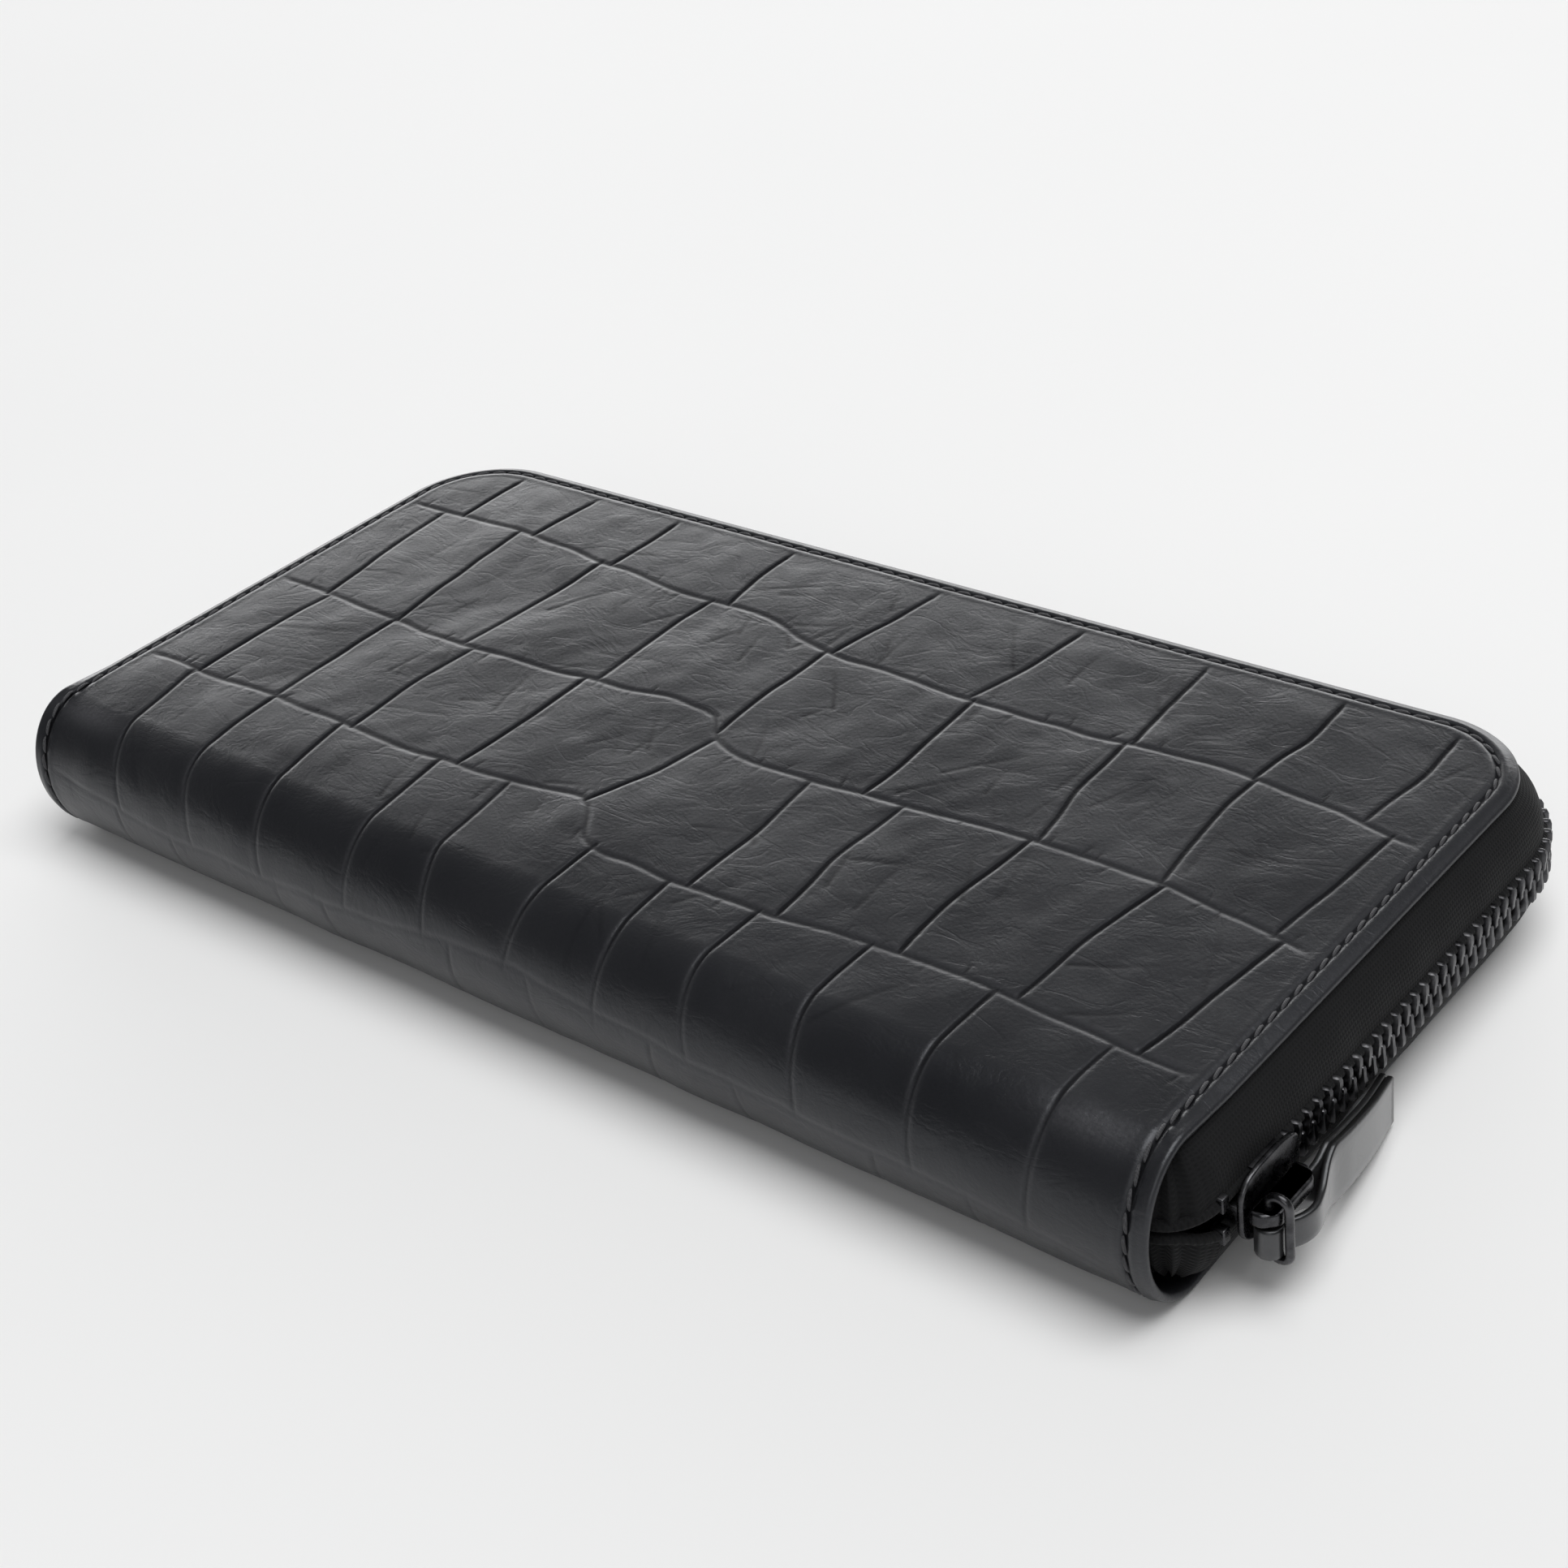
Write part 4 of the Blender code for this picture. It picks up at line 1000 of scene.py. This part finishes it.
def pull_strap():
    """Two plies of leather, folded round the link in an open loop and painted along the edges."""
    half = STRAP_PLY / 2 + 0.03
    end_y = STRAP_HIGH[1] - 0.1
    fold = WIRE + STRAP_PLY / 2 + 0.33    # middle of the leather where it turns round the link's bar
    tip_x = STRAP_LOW[0] + 0.1
    tail = [(tip_x, end_y), (tip_x + 1.6, end_y - 7.0), (tip_x + 2.7, end_y - 14.0),
            (tip_x + 3.3, end_y - 19.5)]
    plan = [(x + half, y) for x, y in tail]
    plan += [(RING_X + 1.9, RING_Y + 7.8), (RING_X + 2.6, RING_Y + 5.2), (RING_X + 2.35, RING_Y + 3.2),
             (RING_X + 1.55, RING_Y + 1.7)]
    for degrees in range(40, -181, -20):
        angle = math.radians(degrees)
        plan.append((RING_X + fold * math.cos(angle), RING_Y + fold * math.sin(angle)))
    plan += [(RING_X - fold, RING_Y + 3.0), (RING_X - fold + 0.15, RING_Y + 6.0),
             (RING_X - 0.3, RING_Y + 9.0)]
    plan += [(x - half, y) for x, y in reversed(tail)]
    line = smooth_line(plan, 0.45)
    ply = STRAP_PLY / 2
    points, flat, kinds = [], [], []
    ring_size = 0
    travelled = 0.0
    for i, point in enumerate(line):
        before, after = line[max(i - 1, 0)], line[min(i + 1, len(line) - 1)]
        if i:
            travelled += float(np.linalg.norm(point - line[i - 1]))
        along = (after - before) / np.linalg.norm(after - before)
        out = np.array([along[1], -along[0]])
        low, high = strap_height(point[1])
        ring = []
        for face in (1, -1):                 # up one face, over the painted edge, down the other
            heights = np.linspace(low + 0.25, high - 0.25, 7)
            heights = heights if face > 0 else heights[::-1]
            ring += [(face * ply, z, 0) for z in heights]
            rim = high if face > 0 else low
            rise = 0.25 if face > 0 else -0.25
            for offset, lift in ((0.88, -0.35), (0.5, 0.15), (-0.5, 0.15), (-0.88, -0.35)):
                ring.append((face * ply * offset, rim + rise * lift, 1))
        ring_size = len(ring)
        for offset, z, kind in ring:
            plan_point = point + out * offset
            points.append((*plan_point, z))
            flat.append((travelled, z, offset))
        kinds = [kind for _, _, kind in ring]
    faces = tube_faces(len(line), ring_size)
    obj = make("pull_leather", points, faces, [PULL, PAINT], "zip_pull", "pull_leather", flat)
    painted = [kinds[j] or kinds[(j + 1) % ring_size] for j in range(ring_size)]
    for k, polygon in enumerate(obj.data.polygons):
        # the faces' last 0.8 mm at the tail end take the dark edge material too, a dark band across the
        # end
        at_end = polygon.center.y > (end_y - 0.8) * MM
        if at_end or len(polygon.vertices) > 4 or painted[k % ring_size]:
            polygon.material_index = 1
    soften(obj, 50)
    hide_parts("pull_strap")


# ---------------------------------------------------------------- inside
def slab(name, node, side, mat, body, slot, front_r, back_r, crown=0.1, hem=0.0, step=2.0):
    """A thin sewn panel in the place of a CAD node, with round edges, a soft crown and a hem."""
    low, high = box(node)
    half_x, y0, y1 = high[0], low[1], high[1]
    thick = high[2] - low[2]
    edge = thick / 2
    ys = []
    for k in range(7):
        ys.append(y0 + edge + (front_r - edge) * (1 - math.cos(math.pi / 2 * k / 6)))
    count = max(int((y1 - y0 - front_r - back_r) / step), 2)
    ys += [y0 + front_r + (y1 - y0 - front_r - back_r) * k / count for k in range(1, count)]
    for k in range(7):
        ys.append(y1 - back_r + (back_r - edge) * math.sin(math.pi / 2 * k / 6))
    ys = np.array(ys)
    near_front = np.clip(y0 + front_r - ys, 0, front_r - edge)
    near_back = np.clip(ys - (y1 - back_r), 0, back_r - edge)
    front_widths = half_x - front_r + np.sqrt((front_r - edge) ** 2 - near_front ** 2)
    back_widths = half_x - back_r + np.sqrt((back_r - edge) ** 2 - near_back ** 2)
    widths = np.where(near_front > 0, front_widths, back_widths)
    widths = np.where((near_front == 0) & (near_back == 0), half_x - edge, widths)
    across = np.linspace(-1, 1, 2 * int(half_x / step) + 1)
    y = np.repeat(ys[:, None], len(across), 1)
    x = across[None, :] * widths[:, None]
    inside = np.minimum(np.minimum(half_x - np.abs(x), y - y0), y1 - y)
    wave = crown * (0.5 + 0.5 * np.sin(x / 15.0 + y / 21.0)) * np.clip(inside / 9.0, 0, 1)
    seam = hem * np.exp(-((y1 - y - 2.6) / 0.5) ** 2)
    face = -side                           # the face that shows looks to the wallet's middle
    shown = (high[2] if face > 0 else low[2]) - face * (crown - wave + seam)
    hidden = low[2] if face > 0 else high[2]
    grids = [np.stack([x, y, shown], -1), np.stack([x, y, np.full_like(x, hidden)], -1)]
    shape = x.shape
    loop = border(*shape)
    at = (loop[:, 0], loop[:, 1])
    middle = (grids[0][at] + grids[1][at]) / 2
    centre_x = np.sign(middle[:, 0]) * np.minimum(np.abs(middle[:, 0]), half_x - back_r)
    centre_y = np.clip(middle[:, 1], y0 + front_r, y1 - back_r)
    out = np.stack([middle[:, 0] - centre_x, middle[:, 1] - centre_y, np.zeros(len(loop))], -1)
    out = out / np.maximum(np.linalg.norm(out, axis=1, keepdims=True), 1e-6)
    rim = middle + out * edge
    total, ring = shape[0] * shape[1], len(loop)
    a = loop[:, 0] * shape[1] + loop[:, 1]
    b = 2 * total + np.arange(ring)
    c = total + a
    faces = grid_faces(*shape) + grid_faces(*shape, total) + ring_faces([a, b, c])
    obj = make(name, np.concatenate([g.reshape(-1, 3) for g in grids] + [rim]), faces, mat, body, slot)
    soften(obj, 60)
    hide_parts(node)
    return obj


def stitch_row(pile, start, end, up, pitch=3.0, half_long=1.1):
    """A straight row of stitches standing on a face that looks along up."""
    start, end, up = (np.array(v, float) for v in (start, end, up))
    length = np.linalg.norm(end - start)
    along = (end - start) / length
    for i in range(int(length / pitch)):
        capsule(pile, start + along * pitch * (i + 0.5), along, up, half_long, 0.16, 0.12, 6)


POCKETS = sorted(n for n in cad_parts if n.startswith("card_pocket_lower"))


def card_side(side, word):
    """Lining, card panel and stepped pockets of one half, sewn along the mouths and the ends."""
    body = f"{word}_half"
    slab(f"lining_cloth_{word}", f"lining_{word}", side, LINING, body, "lining", 3.0, 11.0, 0.08)
    slab(f"card_back_{word}", f"card_panel_{word}", side, CARD, body, "card_leather", 2.0, 6.0, 0.10)
    pile = Pile()
    for k in range(1, len(POCKETS) + 1):
        node = f"card_pocket_{word}_{k}"
        slab(f"card_slot_{word}_{k}", node, side, CARD, body, "card_leather", 2.0, 2.0, 0.08, 0.07)
        low, high = box(node)
        face = high[2] if side < 0 else low[2]
        level = face + side * 0.10
        up = (0, 0, -side)
        mouth, reach = high[1] - 2.6, high[0] - 3.0
        stitch_row(pile, (-reach, mouth, level), (reach, mouth, level), up)
        if k == len(POCKETS):
            for x in (-high[0] + 2.4, high[0] - 2.4, 0.0):
                stitch_row(pile, (x, low[1] + 3, level), (x, high[1] - 4, level), up)
    pile.make(f"card_stitching_{word}", THREAD, body, "card_leather")


GUSSET_Z = 3.25           # a gusset's strip starts and ends this far inside the covers


def gusset(flip, word):
    """A pleated cloth strip at one end, fixed to both card panels and creased at mid height."""
    low, high = box(f"gusset_{word}")
    ys = np.linspace(low[1], high[1], 40)
    knots = np.array([(89.6, GUSSET_Z), (94.3, 7.0), (85.2, MID_Z), (94.3, HEIGHT - 7.0),
                      (89.6, HEIGHT - GUSSET_Z)])
    count = 41
    t = np.linspace(0, 4, count)
    path_x = np.interp(t, range(5), knots[:, 0])
    path_z = np.interp(t, range(5), knots[:, 1])
    path_x = np.convolve(np.pad(path_x, 2, mode="edge"), np.ones(5) / 5, mode="valid")
    thick = 0.4
    along = np.stack([np.gradient(path_x), np.gradient(path_z)], -1)
    along /= np.linalg.norm(along, axis=1, keepdims=True)
    normal = np.stack([along[:, 1], -along[:, 0]], -1) * thick / 2
    rings, flat = [], []
    for y in ys:
        ripple = 0.15 * math.sin(y / 4.3)
        outer = [(flip * (x + n[0] + ripple), y, z + n[1]) for x, z, n in zip(path_x, path_z, normal)]
        inner = [(flip * (x - n[0] + ripple), y, z - n[1]) for x, z, n in zip(path_x, path_z, normal)]
        rings += outer + inner[::-1]
        weave = [(y, 0.9 * k, 0) for k in range(count)]
        flat += weave + weave[::-1]
    obj = make(f"gusset_cloth_{word}", rings, tube_faces(len(ys), 2 * count), LINING, slot="lining",
               flat=flat)
    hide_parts(f"gusset_{word}")
    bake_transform(obj)


def coin_section():
    """The middle pocket: two panels, a small zip along its mouth, and thread."""
    body = "coin_section"
    for side, word in ((-1, "lower"), (1, "upper")):
        slab(f"coin_face_{word}", f"coin_panel_{word}", -side, CARD, body, "card_leather", 4.0, 4.0,
             0.10)
        low, high = box(f"coin_tape_{word}")
        reach = high[0]
        chain_y = high[1] - 0.2
        edge_z = high[2] if side < 0 else low[2]
        outline = coin_tape_outline(side, low, high, chain_y, edge_z)
        xs = np.linspace(-reach, reach, 120)
        points, flat = [], []
        for x in xs:
            ripple = 0.06 * math.sin(x / 3.0)
            for j, (y, z) in enumerate(outline):
                free = 2 < j < len(outline) - 3    # of the panel it is sewn to
                points.append((x, y, z - ripple * side if free else z))
                flat.append((x, j * 0.8, 0))
        tape = make(f"coin_zip_tape_{word}", points, tube_faces(len(xs), len(outline)), TAPE, body,
                    "tape", flat)
        soften(tape, 50)
        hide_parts(f"coin_tape_{word}")
        t_low, t_high = box(f"coin_teeth_{word}")
        count = int((t_high[0] - t_low[0] - 1.0) / PITCH)
        pile = Pile()
        for i in range(count):
            x = t_low[0] + 1.1 + PITCH * (i + (0.0 if side < 0 else 0.5))
            tooth(pile, (x, chain_y), (1, 0), (0, 1), side, 0.66)
        teeth = pile.make(f"coin_zip_teeth_{word}", TEETH_METAL, body, "gunmetal", smooth=False)
        soften(teeth, 35)
        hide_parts(f"coin_teeth_{word}")
    pile = Pile()
    for side, node in ((-1, "coin_panel_lower"), (1, "coin_panel_upper")):
        low, high = box(node)
        level = high[2] - 0.08 if side > 0 else low[2] + 0.08
        seam_y = low[1] + 2.5
        stitch_row(pile, (-high[0] + 5, seam_y, level), (high[0] - 5, seam_y, level), (0, 0, side))
        for x in (low[0] + 2.5, high[0] - 2.5):
            stitch_row(pile, (x, low[1] + 5, level), (x, high[1] - 6, level), (0, 0, side))
    pile.make("coin_stitching", THREAD, body, "card_leather")


def coin_edge():
    """Folded cloth that closes the coin pocket's bottom and ends between its two panels."""
    low, high = box("coin_pocket_edge")
    wide = 2.2                             # of the folded strip
    half_x = high[0] - wide / 2
    bottom, corner = low[1] + wide / 2, 4.0
    line = [(-half_x, y) for y in np.linspace(high[1], bottom + corner, 28)]
    for start, centre_x in ((180, corner - half_x), (270, half_x - corner)):
        if start == 270:
            line += [(x, bottom) for x in np.linspace(corner - half_x, half_x - corner, 80)[1:-1]]
        for k in range(7):
            angle = math.radians(start + 15 * k)
            line.append((centre_x + corner * math.cos(angle),
                         bottom + corner + corner * math.sin(angle)))
    line += [(half_x, y) for y in np.linspace(bottom + corner, high[1], 28)[1:]]
    line = np.array(line)
    along = np.gradient(line, axis=0)
    along /= np.linalg.norm(along, axis=1, keepdims=True)
    out = np.stack([along[:, 1], -along[:, 0]], -1)
    thick = high[2] - low[2]
    points, flat = [], []
    for i, (point, side) in enumerate(zip(line, out)):
        gather = 0.10 * math.sin(i * 1.9)
        for k in range(12):
            angle = 2 * math.pi * k / 12
            reach = (wide / 2 - 0.12 + gather * max(math.cos(angle), 0)) * math.cos(angle)
            z = (low[2] + high[2]) / 2 + (thick / 2 - 0.05) * math.sin(angle)
            x, y = point + side * reach
            points.append((x, y, z))
            flat.append((i * 1.5, k * 0.6, 0))
    obj = make("coin_edge_cloth", points, tube_faces(len(line), 12), LINING, "coin_section", "lining",
               flat)
    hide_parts("coin_pocket_edge")


def coin_tape_outline(side, low, high, chain_y, edge_z):
    """Closed outline (y, z) of a small tape: flat on the panel, then turned towards the chain."""
    sheet = 0.4
    panel = box("coin_panel_lower")[0][2] if side < 0 else box("coin_panel_upper")[1][2]
    skin = panel + side * 0.3
    crest = low[2] if side < 0 else high[2]
    back = low[1]
    top = [(back, skin), (back + 5, skin), (chain_y - 3.4, skin + side * 0.25),
           (chain_y - 1.9, crest - side * sheet), (chain_y - 0.6, crest - side * sheet),
           (chain_y - 0.2, crest - side * 0.9), (chain_y - 0.2, edge_z)]
    bottom = [(chain_y + 0.2, edge_z), (chain_y + 0.2, crest - side * 0.6),
              (chain_y - 0.3, crest - side * 0.1), (chain_y - 2.0, crest),
              (chain_y - 3.6, skin + side * 0.65), (back + 5, skin + side * sheet),
              (back, skin + side * sheet)]
    return top + bottom


def carried(node, mat, bevel, segments=3):
    """A CAD node that stays: its edges are rounded and it gets its final material."""
    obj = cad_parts[node]
    weld = obj.modifiers.new("weld", "WELD")
    weld.merge_threshold = 1e-6
    rounding = obj.modifiers.new("bevel", "BEVEL")
    rounding.width = bevel * MM
    rounding.segments = segments
    rounding.limit_method = "ANGLE"
    rounding.angle_limit = math.radians(35)
    obj.data.shade_smooth()
    weighted = obj.modifiers.new("normals", "WEIGHTED_NORMAL")
    weighted.keep_sharp = False
    for material_slot in obj.material_slots:
        material_slot.material = mat


def carried_nodes():
    for node in ("zip_top_stop_lower", "zip_top_stop_upper", "zip_bottom_box", "coin_stop_left",
                 "coin_stop_right", "coin_pull"):
        carried(node, GUNMETAL, 0.2)
    for node in ("cover_board_lower", "cover_board_upper"):
        carried(node, FIBRE, 0.12, 2)


# ---------------------------------------------------------------- the room
def room():
    """A pale floor and soft lights."""
    look = Look("floor", (0.85, 0.85, 0.845), 0.65)
    vector = look.add("ShaderNodeTexCoord").outputs["Object"]
    soft = look.noise(vector, 3.0, 3.0, 0.5)
    paper = look.finish(look.mix(look.spread(soft, 0.3, 0.7), (0.85, 0.85, 0.847), (0.87, 0.87, 0.867)))
    mesh = bpy.data.meshes.new("floor")
    reach = 6.0
    level = -0.1 * MM
    mesh.from_pydata([(-reach, -reach, level), (reach, -reach, level), (reach, reach, level),
                      (-reach, reach, level)], [], [(0, 1, 2, 3)])
    mesh.materials.append(paper)
    floor = bpy.data.objects.new("floor", mesh)
    bpy.context.scene.collection.objects.link(floor)

    world = bpy.data.worlds.new("room")
    world.use_nodes = True
    background = world.node_tree.nodes["Background"]
    background.inputs["Color"].default_value = (0.97, 0.98, 1.0, 1.0)
    background.inputs["Strength"].default_value = 0.16
    bpy.context.scene.world = world
    bpy.context.scene.view_settings.view_transform = "Standard"

    for name, place_at, size, power in (
            ("overhead", (0.42, 0.12, 1.75), (1.4, 1.4), 28.0),
            ("right_front", (0.8, -1.4, 1.0), (1.2, 1.2), 6.0),
            ("back_panel", (-1.4, 1.45, 0.35), (3.6, 0.56), 30.0)):
        light = bpy.data.lights.new(name, "AREA")
        light.shape = "RECTANGLE"
        light.size, light.size_y = size
        light.energy = power
        lamp = bpy.data.objects.new(name, light)
        lamp.location = place_at
        lamp.rotation_euler = (-Vector(place_at)).to_track_quat("-Z", "Y").to_euler()
        bpy.context.scene.collection.objects.link(lamp)


def camera():
    """The camera, at the side of the right end and above, rolled a little."""
    azimuth, elevation, roll = math.radians(44.198), math.radians(32.079), math.radians(-8.394)
    distance, aim_right, aim_up, aim_z = 352.64, 6.624, -0.710, 12.7
    back = Vector((math.sin(azimuth) * math.cos(elevation), -math.cos(azimuth) * math.cos(elevation),
                   math.sin(elevation)))
    right = Vector((math.cos(azimuth), math.sin(azimuth), 0))
    up = back.cross(right)
    target = Vector((0, 0, aim_z)) + right * aim_right + up * aim_up
    right, up = (right * math.cos(roll) + up * math.sin(roll),
                 up * math.cos(roll) - right * math.sin(roll))
    data = bpy.data.cameras.new("camera")
    data.sensor_width = 36.0
    data.lens = 58.82
    data.clip_start = 0.01
    obj = bpy.data.objects.new("camera", data)
    turn = Matrix((right, up, back)).transposed().to_4x4()
    obj.matrix_world = Matrix.Translation((target + back * distance) * MM) @ turn
    bpy.context.scene.collection.objects.link(obj)
    bpy.context.scene.camera = obj


camera()
room()
cover_leather()
cover_stitching()
spine_lining()
for half, half_word in ((-1, "lower"), (1, "upper")):
    zip_tape(half, half_word)
    zip_teeth(half, half_word)
    card_side(half, half_word)
sliders()
pull_link()
pull_strap()
gusset(-1, "left")
gusset(1, "right")
coin_section()
coin_edge()
carried_nodes()
